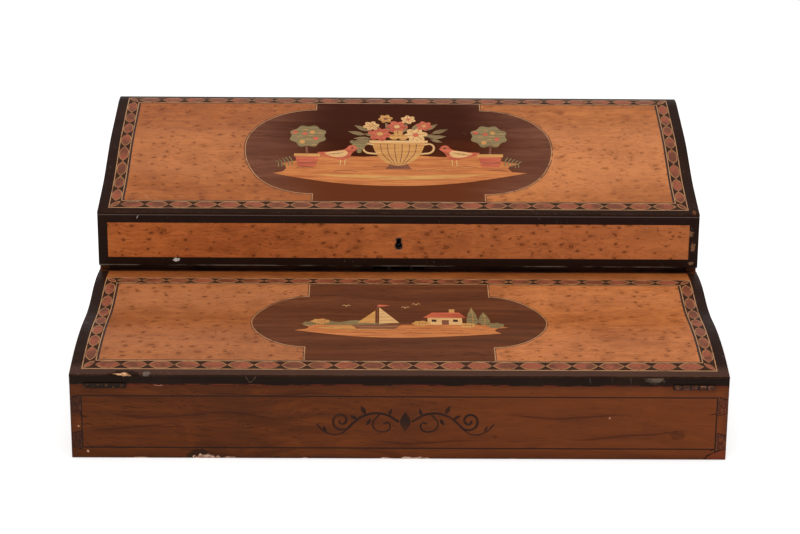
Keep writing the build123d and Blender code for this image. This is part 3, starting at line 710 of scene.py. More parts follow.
wine_leather, shader, place = finish("wine-red skiver")
low, high = corner("flap_writing_leather")
pebbles = add("ShaderNodeTexVoronoi", {"Vector": place, "Scale": 1100.0}, feature="SMOOTH_F1")[0]
creases = noise(place, 220.0, 5.0, 0.6)
worn = fade(noise(place, 14.0, 4.0, 0.6), 0.5, 0.75)
skin = tint(fade(pebbles, 0.1, 0.6), rgb(84, 22, 18), rgb(50, 13, 12))
skin = tint(worn * 0.5, skin, rgb(112, 46, 30))
spot = parts(place)
from_edge = smaller(high[0] - abs(spot[0]), smaller(spot[1] - low[1], high[1] - spot[1]))
gilt = 1.0 - fade(abs(from_edge - 0.0055), 0.00035, 0.0005)
second = 1.0 - fade(abs(from_edge - 0.0075), 0.00015, 0.0003)
gilt = larger(gilt, second) * fade(creases, 0.36, 0.5)
plug(shader["Metallic"], gilt * 0.9)
coat(shader, tint(gilt, skin, rgb(204, 162, 88)), creases * 0.2 + 0.42 - gilt * 0.2, 0.25, pebbles * 0.6 + creases,
     0.00022)
dress(wine_leather, "flap_writing_leather")


# Maple veneers of the flap, the lid and the lid's front. Bird's-eye maple 1 mm thick, glued down, scraped
# and polished to honey brown: fine streaks along it, and small dark eyes that the streaks swirl round.

birds_eye, place, taken, given = effect(
    "bird's-eye maple",
    [("Pale", colour, rgb(222, 152, 92)), ("Deep", colour, rgb(190, 114, 62)),
     ("Eye", colour, rgb(118, 60, 32)), ("Eyes", number, 1.0)],
    [("Colour", colour), ("Height", number)])
wander = noise(place, 55.0, 3.0, 0.55) * 0.011 - 0.0055
bent = vector_calc("ADD", place, place_at(x=wander, y=wander * 0.6))


def eyes_at(scale, chosen, dark, reach, hollow):
    """Scattered round figures: how dark each spot is, and how close it is to a centre. A hollow eye is a ring."""
    cells = add("ShaderNodeTexVoronoi", {"Vector": stretch(bent, (0.75, 1.25, 1.0)), "Scale": scale},
                voronoi_dimensions="2D")
    lot = add("ShaderNodeSeparateColor", {0: cells["Color"]})
    kept = fade(lot[0], chosen, chosen + 0.01)
    size = lot[1] * 0.7 + 0.5
    near = cells["Distance"] / size
    heart = fade(near, dark * 0.62, dark * 0.3) * hollow
    middle = fade(near, dark * 1.05, dark * 0.6) - heart
    round_it = 1.0 - fade(near, dark, reach)
    return middle * kept, round_it * kept


big_dot, big_swirl = eyes_at(84.0, 0.66, 0.13, 0.40, 0.45)
small_dot, small_swirl = eyes_at(150.0, 0.53, 0.17, 0.38, 0.0)
faint_dot, faint_swirl = eyes_at(61.0, 0.62, 0.11, 0.45, 0.6)
swirl = larger(big_swirl, larger(small_swirl, faint_swirl))
parted = vector_calc("ADD", bent, place_at(y=swirl * 0.0032))
streaks = noise(parted, (22, 520, 1), 3.0, 0.6)
broad = noise(parted, (8, 90, 1), 3.0, 0.55)
curl = noise(parted, (120, 210, 1), 3.0, 0.55)
cloud = noise(place, 13.0, 3.0, 0.55)
mottle = noise(bent, (62, 95, 1), 4.0, 0.6)
figure = streaks * 0.44 + broad * 0.20 + curl * 0.26 + mottle * 0.40 + cloud * 0.45
wood = tint(fade(figure, 0.66, 1.08), taken["Deep"], taken["Pale"])
halo = fade(swirl, 0.05, 0.5) * (curl * 0.36)
wood = tint(halo * taken["Eyes"], wood, taken["Eye"])
torn_eye = fade(noise(bent, (500, 900, 1), 3.0, 0.6), 0.22, 0.46)
dots = larger(larger(big_dot * 0.9, small_dot * 0.88) * torn_eye, faint_dot * 0.34) * taken["Eyes"]
ticks = fade(noise(bent, (190, 800, 1), 1.0), 0.58, 0.70)
crowd = fade(noise(place, (42, 60, 1), 3.0, 0.6), 0.44, 0.62)
flecks = fade(noise(bent, (360, 640, 1), 2.0), 0.60, 0.70) * (crowd * 0.85)
dots = larger(larger(dots, flecks * taken["Eyes"]), ticks * 0.36)
plug(given["Colour"], tint(dots, wood, taken["Eye"]))
plug(given["Height"], figure - dots * 0.8)

cartouche_edge, place, taken, given = effect(
    "cartouche edge",
    [("Half", number, 0.058), ("Across", number, 0.04), ("Deep", number, 0.04), ("Middle", number, 0.0)],
    [("Outside", number)])
spot = parts(place)
past_side = abs(spot[0]) - taken["Half"]
bay = place_at(x=past_side / taken["Across"], y=(spot[1] - taken["Middle"]) / taken["Deep"])
reach = vector_calc("LENGTH", bay)
past_bay = (reach - 1.0) * taken["Deep"]
plug(given["Outside"], smaller(past_side, past_bay))


def maple_veneer(name, pale, deep, eye, turn=(0, 0, 0), shift=(0, 0, 0), eyes=1.0, gloss=0.36, outline=None,
                 paler_stretches=()):
    """Polished maple for one veneer. An outline is the cartouche that it meets, with a dark line round it.

    Each paler stretch gives the axis, the places in metres where it starts, where it is palest from and to
    and where it ends, and how pale. On the lid's fields it is a painted sheen across the middle of each field;
    on the flap's rear strip it leaves the rear by the lid darker as painted shade; on the flap's fields and the
    lid's front panel it only makes the wood paler in those places.
    """
    material, shader, place = finish(name)
    light, dark = pale, deep
    for axis, start, full, last, end, amount in paler_stretches:
        # Painted light: a painted sheen on the lid's fields, and painted shade by the lid on the flap's rear strip.
        along = noise(place, 16.0, 2.0) * 0.02 + parts(place)[axis] - 0.01
        paler = fade(along, start, full) * fade(along, end, last) * amount
        light, dark = (tint(paler, wood, rgb(232, 152, 98)) for wood in (light, dark))
    figure = use(birds_eye, Place=lengthways(place, turn, shift), Pale=light, Deep=dark, Eye=eye, Eyes=eyes)
    grime = use(handled, Place=place, Base=gloss)
    wood = tint(grime["Grime"] * 0.14, figure["Colour"], deep)
    wood = tint(grime["Scratches"] * 0.25, wood, rgb(240, 196, 150))
    if outline:
        half, across, deep_bay, middle = outline
        past = use(cartouche_edge, Place=place, Half=half, Across=across, Deep=deep_bay, Middle=middle)
        dark_line = fade(past["Outside"], 0.00135, 0.00105)
        broken = fade(noise(place, 240.0), 0.30, 0.45)
        wood = tint(dark_line * (broken * 0.8), wood, rgb(58, 28, 17))
    coat(shader, wood, grime["Roughness"], 0.1, figure["Height"], 0.00012)
    return material


flap_oval, lid_oval = ((0.0582, 0.035, 0.035, -0.06994), (0.0578, 0.0478, 0.0442, 0.0674))
dress(maple_veneer("maple of the flap's left field", rgb(172, 100, 53), rgb(135, 72, 34), rgb(98, 42, 4),
                   shift=(0.31, 0.12, 0), eyes=0.85, outline=flap_oval,
                   paler_stretches=[(1, -0.070, -0.028, 1, 2, 0.26), (1, -2, -1, -0.108, -0.080, 0.13)]), "flap_maple_left")
dress(maple_veneer("maple of the flap's right field", rgb(199, 118, 63), rgb(157, 86, 41), rgb(108, 48, 6),
                   shift=(0.74, 0.55, 0), eyes=0.8, outline=flap_oval,
                   paler_stretches=[(1, -0.060, -0.026, 1, 2, 0.17), (1, -2, -1, -0.112, -0.086, 0.12)]), "flap_maple_right")
# The rear strip is paler towards the front, and its rear by the lid is left darker as painted shade.
dress(maple_veneer("plain maple of the rear strip", rgb(162, 90, 40), rgb(118, 60, 24), rgb(68, 33, 16),
                   shift=(0.2, 0.9, 0), eyes=0.15, gloss=0.42,
                   paler_stretches=[(1, 0.000, -0.012, -1, -2, 0.12)]), "flap_rear_strip")
# The lid's two fields are paler across their middle as a painted sheen.
dress(maple_veneer("maple of the lid's left field", rgb(180, 103, 50), rgb(145, 76, 33), rgb(106, 45, 4),
                   shift=(0.05, 0.41, 0), eyes=0.82, outline=lid_oval,
                   paler_stretches=[(1, 0.027, 0.050, 0.072, 0.106, 0.27)]), "lid_maple_left")
dress(maple_veneer("maple of the lid's right field", rgb(194, 116, 58), rgb(157, 86, 39), rgb(118, 53, 6),
                   shift=(0.63, 0.83, 0), eyes=0.7, outline=lid_oval,
                   paler_stretches=[(1, 0.010, 0.052, 0.070, 0.106, 0.36)]), "lid_maple_right")
dress(maple_veneer("maple of the lid's front panel", rgb(198, 109, 52), rgb(155, 78, 33), rgb(84, 31, 2),
                   turn=(-quarter, 0, 0), shift=(0.44, 0.27, 0), eyes=0.8, paler_stretches=[(0, -0.16, 0.19, 1, 2, 0.24)]),
      "lid_front_panel")


# Bandings of the flap and the lid. Ebonised pearwood 1 mm thick laid to the edges, almost black, with a painted
# grey sheen on the flap's front strip, a painted highlight along the upper arris of the lid's front, and thin worn
# lines where the arrises have been rubbed.

plan_edge, place, taken, given = effect(
    "plan edge",
    [("Near", number, 0.0), ("Far", number, 1.0), ("Side", number, 0.2)],
    [("From edge", number)])
spot = parts(place)
ends = smaller(spot[1] - taken["Near"], taken["Far"] - spot[1])
plug(given["From edge"], smaller(taken["Side"] - abs(spot[0]), ends))


def banding(name, near, far, front_sheen, chips=()):
    """Ebonised banding round a veneered top, with its outer arris rubbed and a painted sheen on its front strip."""
    material, shader, place = finish(name)
    stain = use(ebonised, Place=place, Along=place, Dark=rgb(30, 15, 9), Worn=rgb(68, 41, 29))
    # Painted sheen: the front strip is lightened to a reddish grey, as the gleam of the polish there.
    strip = fade(parts(place)[1], near + 0.012, near + 0.004)
    outline = use(plan_edge, Place=place, Near=near, Far=far, Side=0.2)["From edge"]
    torn = noise(place, 190.0, 4.0, 0.65) * 0.0016 + outline
    rubbed = 1.0 - fade(torn, 0.0007, 0.0012)
    on_top = fade(outline, 0.00005, 0.0003)
    wood = tint(strip * on_top * front_sheen, stain["Colour"], rgb(112, 78, 65))
    wood = tint(rubbed * (on_top * 0.35 + 0.08), wood, rgb(124, 86, 62))
    grime = use(handled, Place=place, Base=0.42)
    wood = tint(grime["Grime"] * 0.3, wood, rgb(58, 42, 36))
    wood = tint(grime["Scratches"] * 0.6, wood, rgb(130, 112, 100))
    lost = 0.0
    # A banding with a painted front sheen is the flap's, which also has the bruise and the torn splinters.
    if front_sheen:
        bruise = round_patch(place, (-0.1668, -0.1320, 0.0535), (0.0085, 0.0034, 0.003), 0.8, 300.0)
        wood = tint(bruise * 0.8, wood, rgb(34, 18, 12))
        lost = bare_star(place)
        wood = tint(lost, wood, tint(fade(noise(place, 1500.0, 2.0), 0.35, 0.62), rgb(138, 72, 36),
                                     rgb(250, 196, 146)))
    for centre, radii, under, over in chips:
        chip = round_patch(place, centre, radii, 0.9, 230.0, 1.7)
        fresh = tint(noise(place, (200, 1500, 1500)), under, over)
        wood = tint(chip, wood, fresh)
        lost = larger(lost, chip)
    coat(shader, wood, lost * 0.4 + grime["Roughness"], 0.025, stain["Height"] - lost * 2.0, 0.00012)
    return material


lid_plane = 0.0021          # the lid's front, in metres behind the box's middle
dress_eased(banding("banding of the flap", front_plane, 0.0011, 0.36,
                    [((-0.1533, -0.1313, 0.0536), (0.0020, 0.0018, 0.003), rgb(84, 66, 58), rgb(126, 108, 97))]),
            "flap_edge_banding", "flap", 0.0004,
            lambda middle, up: up.z > 0.3 and (abs(middle.x) > side_arris or middle.y < -end_arris))
dress_eased(banding("banding of the lid", lid_plane, 0.1327, 0.0,
                    [((0.1965, 0.0045, 0.1225), (0.0014, 0.0022, 0.003), rgb(78, 46, 32), rgb(122, 78, 54))]),
            "lid_edge_banding", "lid", 0.0004,
            lambda middle, up: up.z > 0.3 and (abs(middle.x) > side_arris or middle.y < lid_plane
                                               or middle.y > end_arris))

front_banding, shader, place = finish("banding of the lid's front")
low, high = corner("lid_front_banding")
stain = use(ebonised, Place=place, Along=place, Dark=rgb(31, 16, 10), Worn=rgb(56, 33, 22))
spot = parts(place)
patchy = fade(noise(place, (38, 200, 200), 3.0, 0.6), 0.46, 0.66)
rubbed = fade(spot[2], low[2] + 0.0012, low[2] + 0.0002) * patchy
# Painted highlight: a pale grey line along the upper arris of the lid's front.
arris_highlight = 1.0 - fade(abs(spot[2] - 0.1196), 0.0001, 0.0005)
wood = tint(rubbed * 0.5, stain["Colour"], rgb(160, 142, 124))
wood = tint(arris_highlight * 0.55, wood, rgb(116, 96, 88))
wood = tint(round_patch(place, (-0.1482, lid_plane, 0.0888), (0.0020, 0.003, 0.0012), 1.3, 420.0), wood,
            tint(noise(place, 900.0), rgb(150, 140, 130), rgb(246, 240, 232)))
for spot_at, radii in (((0.1935, lid_plane, 0.1085), (0.0025, 0.003, 0.0022)),
                       ((0.1965, lid_plane, 0.0990), (0.0014, 0.003, 0.0030)),
                       ((0.1955, lid_plane, 0.0880), (0.0018, 0.003, 0.0012))):
    wood = tint(round_patch(place, spot_at, radii, 1.3, 520.0), wood, rgb(126, 88, 62))
scratch = 1.0 - fade(abs(parts(lengthways(place, (0, math.radians(62), 0)))[2] - 0.2086), 0.0001, 0.0003)
scratch = scratch * round_patch(place, (-0.1715, lid_plane, 0.1172), (0.0024, 0.003, 0.0024), 0.1)
wood = tint(scratch, wood, rgb(196, 188, 180))
grime = use(handled, Place=place, Base=0.36)
wood = tint(grime["Scratches"] * 0.5, wood, rgb(120, 104, 92))
coat(shader, wood, grime["Roughness"], 0.05, stain["Height"], 0.00010)
dress_eased(front_banding, "lid_front_banding", "lid", 0.0003,
            lambda middle, up: middle.y < lid_plane and (abs(middle.x) > side_arris or middle.z < 0.0850))
dress(ebonised_strip("ebonised inner line", rgb(46, 28, 22), rgb(84, 52, 38), 0.1), "flap_inner_dark_line",
      "lid_inner_dark_line")


# Light strings. Holly lines 0.6 mm wide on both sides of the guilloche bands and round the cartouches,
# yellowed under the polish and lost in places.

holly, shader, place = finish("yellowed holly line")
gone = fade(noise(place, 120.0, 4.0, 0.6), 0.52, 0.66)
wood = tint(noise(place, (200, 200, 60)), rgb(164, 112, 72), rgb(200, 150, 106))
coat(shader, tint(gone * 0.7, wood, rgb(112, 72, 48)), gone * 0.2 + 0.34)
dress(holly, "flap_strings", "lid_strings")


# Guilloche bands. A chain of long six-sided links round each field, sawn from red-stained maple with a
# holly edge, and laid in a near-black ground 7 mm wide. Each link is bent down with the curve of the top.

def cut_across(start, stop, step):
    """Cuts every face of the active piece at even steps along Y, so that it can follow a curve."""
    switch("EDIT")
    for cut in range(int((stop - start) / step) + 1):
        bpy.ops.mesh.select_all(action="SELECT")
        bpy.ops.mesh.bisect(plane_co=(0, start + cut * step, 0), plane_no=(0, 1, 0))
    switch("OBJECT")


def guilloche_link(length, width, cuts):
    """One link lying along Y: a hexagon with eased shoulders, its holly edge inset, cut across for bending."""
    bpy.ops.object.select_all(action="DESELECT")
    bpy.ops.mesh.primitive_circle_add(vertices=6, radius=length / 2, fill_type="NGON", location=(0, 0, 0))
    switch("EDIT")
    bpy.ops.mesh.select_all(action="SELECT")
    bpy.ops.transform.resize(value=(width / (length * math.cos(math.radians(30))), 1, 1))
    pick("vertices", lambda corner: abs(corner.co.y) < length * 0.4)
    bpy.ops.mesh.bevel(offset=0.0016, segments=2, affect="VERTICES")
    bpy.ops.mesh.select_mode(type="FACE")
    bpy.ops.mesh.select_all(action="SELECT")
    bpy.ops.mesh.inset(thickness=0.0006, depth=0)
    switch("OBJECT")
    link = bpy.context.object
    link.data.materials.append(pale_edge)
    link.data.materials.append(red_fill)
    for face in link.data.polygons:
        face.material_index = int(face.select)
    cut_across(-length * cuts / (2 * cuts + 2), length / 2, length / (cuts + 1))
    return link


def thickened(piece, thickness):
    """Gives a flat piece its thickness, downwards from its face."""
    body = piece.modifiers.new("body", "SOLIDIFY")
    body.thickness = thickness
    body.offset = -1
    bpy.ops.object.modifier_apply(modifier="body")


def face_the_eye(wrong_way):
    """Turns over the faces of the active piece that look the wrong way."""
    switch("EDIT")
    pick("faces", wrong_way)
    bpy.ops.mesh.flip_normals()
    switch("OBJECT")


def lay_on(piece, ground, lift):
    """Drops a flat piece onto a veneered top and gives it the thickness that stands above the ground."""
    only(piece)
    face_the_eye(lambda face: face.normal.z < 0)
    steps = [corner.co.z for corner in piece.data.vertices]
    base = min(steps)
    drop = piece.modifiers.new("drop", "SHRINKWRAP")
    drop.wrap_method = "PROJECT"
    drop.use_project_z = True
    drop.use_positive_direction = False
    drop.use_negative_direction = True
    drop.target = nodes[ground]
    drop.offset = lift
    bpy.ops.object.modifier_apply(modifier="drop")
    for corner, step in zip(piece.data.vertices, steps):
        corner.co.z += step - base
    thickened(piece, 0.00008)


def joined(pieces, name, **placed):
    """Joins flat pieces into one, places it and gives it its name."""
    only(*pieces)
    bpy.ops.object.join()
    piece = bpy.context.object
    piece.name = name
    for setting, value in placed.items():
        setattr(piece, setting, value)
    bpy.ops.object.transform_apply(location=True, rotation=True, scale=True)
    return piece


def chain_of_links(top, outer, inner, across, up):
    """All links of the flap or the lid, from the band's outer and inner edges: (half width, near, far)."""
    band = outer[0] - inner[0]
    middle_x = (outer[0] + inner[0]) / 2
    near, far = (outer[1] + inner[1]) / 2, (outer[2] + inner[2]) / 2
    pitch_x = 2 * inner[0] / across
    pitch_y = (inner[2] - inner[1]) / up
    width = band * 0.94
    long_link = guilloche_link(pitch_x * 0.995, width, 1)
    side_link = guilloche_link(pitch_y * 0.995, width, 5)
    leaf = guilloche_link(band * 1.3, band * 0.5, 3)
    places = []
    for step in range(across):
        x = -inner[0] + (step + 0.5) * pitch_x
        places += [(long_link, x, near, quarter), (long_link, x, far, quarter)]
    for step in range(up):
        y = inner[1] + (step + 0.5) * pitch_y
        places += [(side_link, -middle_x, y, 0), (side_link, middle_x, y, 0)]
    for side in (-1, 1):
        places += [(leaf, side * middle_x, near, side * quarter / 2),
                   (leaf, side * middle_x, far, -side * quarter / 2)]
    laid = []
    for model, x, y, turn in places:
        link = model.copy()
        link.data = model.data.copy()
        bpy.context.scene.collection.objects.link(link)
        link.location = (x, y, 0.25)
        link.rotation_euler = (0, 0, turn)
        laid.append(link)
    for model in (long_link, side_link, leaf):
        bpy.data.objects.remove(model)
    chain = joined(laid, top + "_guilloche_links")
    for edge in (near - band / 4, near, near + band / 4, far - band / 4, far, far + band / 4):
        cut_across(edge, edge + 0.0001, 0.001)
    lay_on(chain, top + "_guilloche_ground", 0.00006)
    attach(chain, top)


ground_black, shader, place = finish("near-black ground of the guilloche")
stain = use(ebonised, Place=place, Along=place, Dark=rgb(50, 29, 21), Worn=rgb(92, 58, 40))
coat(shader, stain["Colour"], stain["Roughness"] + 0.12, 0.03, stain["Height"], 0.00008)
dress(ground_black, "flap_guilloche_ground", "lid_guilloche_ground")

pale_edge, shader, place = finish("holly edge of the links")
gone = fade(noise(place, 150.0, 4.0, 0.6), 0.45, 0.62)
wood = tint(noise(place, (300, 300, 60)), rgb(134, 86, 50), rgb(192, 138, 90))
coat(shader, tint(gone * 0.72, wood, rgb(96, 58, 38)), gone * 0.2 + 0.36)

red_fill, shader, place = finish("red-stained maple of the links")
checks = add("ShaderNodeTexChecker", {"Vector": place, "Scale": 620.0})["Fac"]
dye = fade(noise(place, 75.0, 4.0, 0.6), 0.38, 0.62)
wood = tint(dye, rgb(88, 39, 28), rgb(156, 78, 57))
wood = tint(checks * 0.3, wood, rgb(84, 40, 25))
wood = tint(noise(place, (90, 500, 500)) * 0.45, wood, rgb(154, 96, 58))
coat(shader, wood, dye * 0.15 + 0.34)

chain_of_links("flap", (0.1925, -0.127341, -0.012532), (0.1855, -0.120341, -0.019532), 23, 7)
chain_of_links("lid", (0.1925, 0.006868, 0.127941), (0.1855, 0.013868, 0.120941), 23, 8)


# Cartouches. Dark walnut veneer with the grain along it, let into the middle of each maple field as the
# ground of the pictures.

def dark_ground(name, pale, deep, shift, core):
    """Dark polished walnut behind a picture, with a darker heart in its middle."""
    material, shader, place = finish(name)
    grain = use(long_grain, Place=lengthways(place, shift=shift), Pale=pale, Deep=deep, Pore=rgb(44, 22, 16),
                Rings=30.0, Pores=0.5)
    grime = use(handled, Place=place, Base=0.36)
    wood = tint(grime["Grime"] * 0.25, grain["Colour"], rgb(84, 52, 42))
    sway = noise(place, (8, 60, 60)) * 0.06 - 0.03
    spot = parts(place)
    heart = fade(abs(spot[0]) + sway, 0.10, 0.04)
    back = fade(spot[1] + sway, 0.04, 0.07)
    wood = tint(heart * core, wood, tint(back, rgb(98, 46, 20), rgb(60, 22, 6)))
    wood = tint(grime["Scratches"] * 0.3, wood, rgb(132, 92, 74))
    coat(shader, wood, grime["Roughness"], 0.015, grain["Height"], 0.0001)
    return material


dress(dark_ground("dark walnut of the flap's cartouche", rgb(122, 70, 44), rgb(88, 49, 30), (0.2, 0.3, 0.7), 0.1),
      "flap_cartouche")
dress(dark_ground("dark walnut of the lid's cartouche", rgb(132, 82, 62), rgb(95, 55, 39), (0.8, 0.1, 0.2), 0.97),
      "lid_cartouche")


# Picture of the lid. A bowl of fruit and flowers on a pale ledge between two birds and two potted trees,
# sawn from thin coloured woods, let into the dark walnut, shaded with hot sand and engraved.

def picture_wood(name, pale, deep, streak=1.0):
    """One of the thin coloured woods of the pictures, with fine grain and scorched shading."""
    material, shader, place = finish(name)
    fine = noise(place, (40, 620, 620), 3.0, 0.6)
    scorch = fade(noise(place, 130.0, 3.0, 0.6), 0.5, 0.8)
    wood = tint(fade(fine, 0.3, 0.75) * streak, pale, deep)
    wood = tint(scorch * 0.35, wood, deep)
    coat(shader, wood, fine * 0.15 + 0.32, 0.1, fine, 0.00005)
    return material


woods = {"ledge": picture_wood("pale cherry of the ledges", rgb(208, 128, 68), rgb(170, 92, 46)),
         "holly": picture_wood("holly of the pictures", rgb(226, 178, 118), rgb(196, 142, 88), 0.6),
         "box": picture_wood("boxwood of the pictures", rgb(214, 156, 88), rgb(180, 118, 60)),
         "coral": picture_wood("red-dyed sycamore of the pictures", rgb(206, 104, 72), rgb(166, 72, 48)),
         "olive": picture_wood("grey-green sycamore of the pictures", rgb(146, 124, 82), rgb(112, 92, 58)),
         "briar": picture_wood("brown briar of the pictures", rgb(140, 84, 58), rgb(104, 58, 40)),
         "dark": picture_wood("dark lines of the pictures", rgb(66, 38, 28), rgb(44, 26, 20))}
wood_order = list(woods)
picture = {}
square = (0, 1, 2, 3)       # the corners of a piece sawn with straight sides


def keep_flat(wood, layer):
    """Files the active flat shape under its layer, as a mesh of its own wood."""
    bpy.ops.object.convert(target="MESH")
    piece = bpy.context.object
    piece.data.materials.clear()
    for each in wood_order:
        piece.data.materials.append(woods[each])
    for face in piece.data.polygons:
        face.material_index = wood_order.index(wood)
    picture.setdefault(layer, []).append(piece)
    piece.location.z = len(picture[layer]) * 0.0000004


def sawn(wood, outline, layer="figures", at=(0, 0), flip=1, sharp=(), turn=0.0):
    """A flat piece of wood sawn round an outline of points in millimetres. Sharp points keep their corner."""
    bpy.ops.object.select_all(action="DESELECT")
    bpy.ops.curve.primitive_bezier_circle_add(radius=0.01, location=(0, 0, 0))
    curve = bpy.context.object.data
    curve.dimensions = "2D"
    curve.fill_mode = "BOTH"
    curve.resolution_u = 3
    run = curve.splines[0]
    run.bezier_points.add(len(outline) - 4)
    for index, (x, y) in enumerate(outline):
        point = run.bezier_points[index]
        x *= flip
        point.co = ((at[0] + x * math.cos(turn) - y * math.sin(turn)) / 1000,
                    (at[1] + x * math.sin(turn) + y * math.cos(turn)) / 1000, 0)
        point.handle_left_type = point.handle_right_type = "VECTOR" if index in sharp else "AUTO"
    keep_flat(wood, layer)


def engraved(points, width=0.5, wood="dark", layer="lines", at=(0, 0), flip=1):
    """A thin line cut into the picture and filled, as a flat ribbon. Width and points are in millimetres."""
    bpy.ops.object.select_all(action="DESELECT")
    bpy.ops.curve.primitive_bezier_curve_add(radius=0.01, location=(0, 0, 0))
    curve = bpy.context.object.data
    curve.dimensions = "3D"
    curve.resolution_u = 4
    curve.extrude = width / 2000
    run = curve.splines[0]
    run.bezier_points.add(len(points) - 2)
    for point, (x, y) in zip(run.bezier_points, points):
        point.co = ((at[0] + x * flip) / 1000, (at[1] + y) / 1000, 0)
        point.handle_left_type = point.handle_right_type = "AUTO"
        point.tilt = quarter
    keep_flat(wood, layer)


def oval(wide, high, points=8):
    """An oval outline in millimetres."""
    return [(wide * math.cos(math.tau * step / points), high * math.sin(math.tau * step / points))
            for step in range(points)]


def leaf(wood, at, turn, length):
    """A pointed leaf that grows from a point in a direction, with its rib."""
    turn = math.radians(turn)
    sawn(wood, [(0, 0), (length * 0.4, length * 0.17), (length, 0), (length * 0.45, -length * 0.16)], "leaves",
         at, sharp=(0, 2), turn=turn)
    tip = (at[0] + length * 0.9 * math.cos(turn), at[1] + length * 0.9 * math.sin(turn))
    engraved([at, tip], 0.35, "briar" if wood == "olive" else "olive")


def blossom(wood, heart, at, size, lean):
    """A flower of six round petals about a heart."""
    for step in range(6):
        turn = math.tau * step / 6 + lean
        centre = (at[0] + size * 0.58 * math.cos(turn), at[1] + size * 0.58 * math.sin(turn))
        sawn(wood, oval(size * 0.46, size * 0.34, 6), "figures", centre, turn=turn)
        engraved([at, (at[0] + size * 0.86 * math.cos(turn), at[1] + size * 0.86 * math.sin(turn))], 0.3, "briar")
    sawn(heart, oval(size * 0.27, size * 0.27, 6), "lines", at)


def set_picture(top):
    """Joins the shapes of each layer, cuts them across to follow the curve, and lets them into the cartouche."""
    low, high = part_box(top + "_cartouche")
    for lift, layer in enumerate(("ledge", "leaves", "figures", "lines")):
        piece = joined(picture[layer], top + "_picture_" + layer)
        cut_across(low[1], high[1], 0.0035)
        switch("EDIT")
        bpy.ops.mesh.select_all(action="SELECT")
        bpy.ops.transform.translate(value=(0, 0, 0.25))
        switch("OBJECT")
        lay_on(piece, top + "_cartouche", 0.00005 + 0.00004 * lift)
        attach(piece, top)
    picture.clear()


sawn("ledge", [(-86, 44), (-77, 48), (-80, 53), (-67, 56), (-50, 60), (-24, 59), (4, 61), (30, 59), (52, 60),
               (68, 56), (83, 53), (75, 49), (88, 45), (70, 41), (40, 35), (2, 32), (-36, 34), (-64, 39)],
     "ledge", sharp=(0, 2, 10, 12))
sawn("box", [(-60, 43), (-30, 40), (4, 38), (36, 40), (62, 44), (30, 43), (0, 42), (-30, 43)], "leaves",
     sharp=(0, 4))
for x, y, run in ((-70, 49, 12), (-44, 46, 16), (-18, 50, 12), (14, 47, 18), (40, 50, 14), (62, 47, 12)):
    engraved([(x, y), (x + run / 2, y + 0.7), (x + run, y - 0.4)], 0.4, "briar", "leaves")

sawn("briar", [(-9, 48), (9, 48), (6, 52.5), (-6, 52.5)], sharp=square)
sawn("box", [(-5, 52), (-13, 58), (-17, 66), (-18.5, 72), (18.5, 72), (17, 66), (13, 58), (5, 52)],
     sharp=(3, 4))
sawn("holly", [(-20, 72), (20, 72), (20.5, 74.6), (-20.5, 74.6)], sharp=square)
for x in (-12, -7.4, -2.5, 2.5, 7.4, 12):
    engraved([(x * 0.35, 53), (x * 0.92, 62), (x * 1.05, 71)], 0.5, "briar")
for side in (-1, 1):
    engraved([(side * 16.5, 70), (side * 23, 70.5), (side * 23.5, 64), (side * 15, 61.5)], 1.5, "holly", "figures")
for turn in range(8, 180, 17):
    reach = 11 + 5 * math.sin(math.radians(turn * 3))
    leaf("olive", (reach * 1.6 * math.cos(math.radians(turn)), 76 + reach * math.sin(math.radians(turn))), turn, 13)
for x, y, turn in ((-22, 76, 200), (22, 76, -20), (-16, 80, 165), (17, 79, 15)):
    leaf("olive", (x, y), turn, 9)
for x, y, wood, heart, size in ((-13, 82, "coral", "box", 8.2), (12, 81, "holly", "coral", 8.2),
                                (-1, 91, "coral", "holly", 7.4), (-19, 92, "holly", "box", 5.6),
                                (18, 92, "coral", "box", 5.8), (7, 100, "holly", "coral", 5.2),
                                (-9, 101, "box", "briar", 5.0)):
    blossom(wood, heart, (x, y), size, x * 0.1)
for x, y in ((-3, 78.6), (3.2, 78.2), (0, 83.5)):
    sawn("box", oval(3.3, 3.1), at=(x, y))
    engraved([(x - 1.2, y + 1.4), (x + 0.3, y + 2.0)], 0.4, "briar")
for row, count in enumerate((4, 3, 2, 1)):
    for step in range(count):
        centre = (-25.5 + 3.3 * (step - count / 2), 73 - row * 3.0)
        sawn("olive", oval(1.75, 1.75, 6), at=centre)

for flip, x in ((1, -39), (-1, 39)):
    at = (x, 59.5)
    engraved([(-0.6, -2), (-1.2, -8.5)], 0.7, "holly", "figures", at, flip)
    engraved([(2.4, -2), (2.0, -8.5)], 0.7, "holly", "figures", at, flip)
    sawn("coral", [(11, 6.4), (8.6, 9.6), (5.4, 9.9), (2.5, 6.6), (-4, 4.6), (-17, 3.4), (-16, 0.4), (-6, -1.6),
                   (0, -3.6), (4.6, -1.6), (7.4, 3.2)], "figures", at, flip, sharp=(0, 5, 6))
    sawn("holly", [(3.6, 4.0), (-3, 4.6), (-12.5, 2.6), (-8, 0.0), (-2, -1.2), (3, 0.6)], "lines", at, flip,
         sharp=(2,))
    for step in range(3):
        engraved([(1.2 - 3 * step, 3.4 - 0.5 * step), (-3.5 - 3 * step, 1.6 - 0.3 * step)], 0.35, "briar", "lines",
                 at, flip)
    sawn("dark", oval(0.75, 0.75, 6), "lines", (x + 7.0 * flip, 59.5 + 7.4))

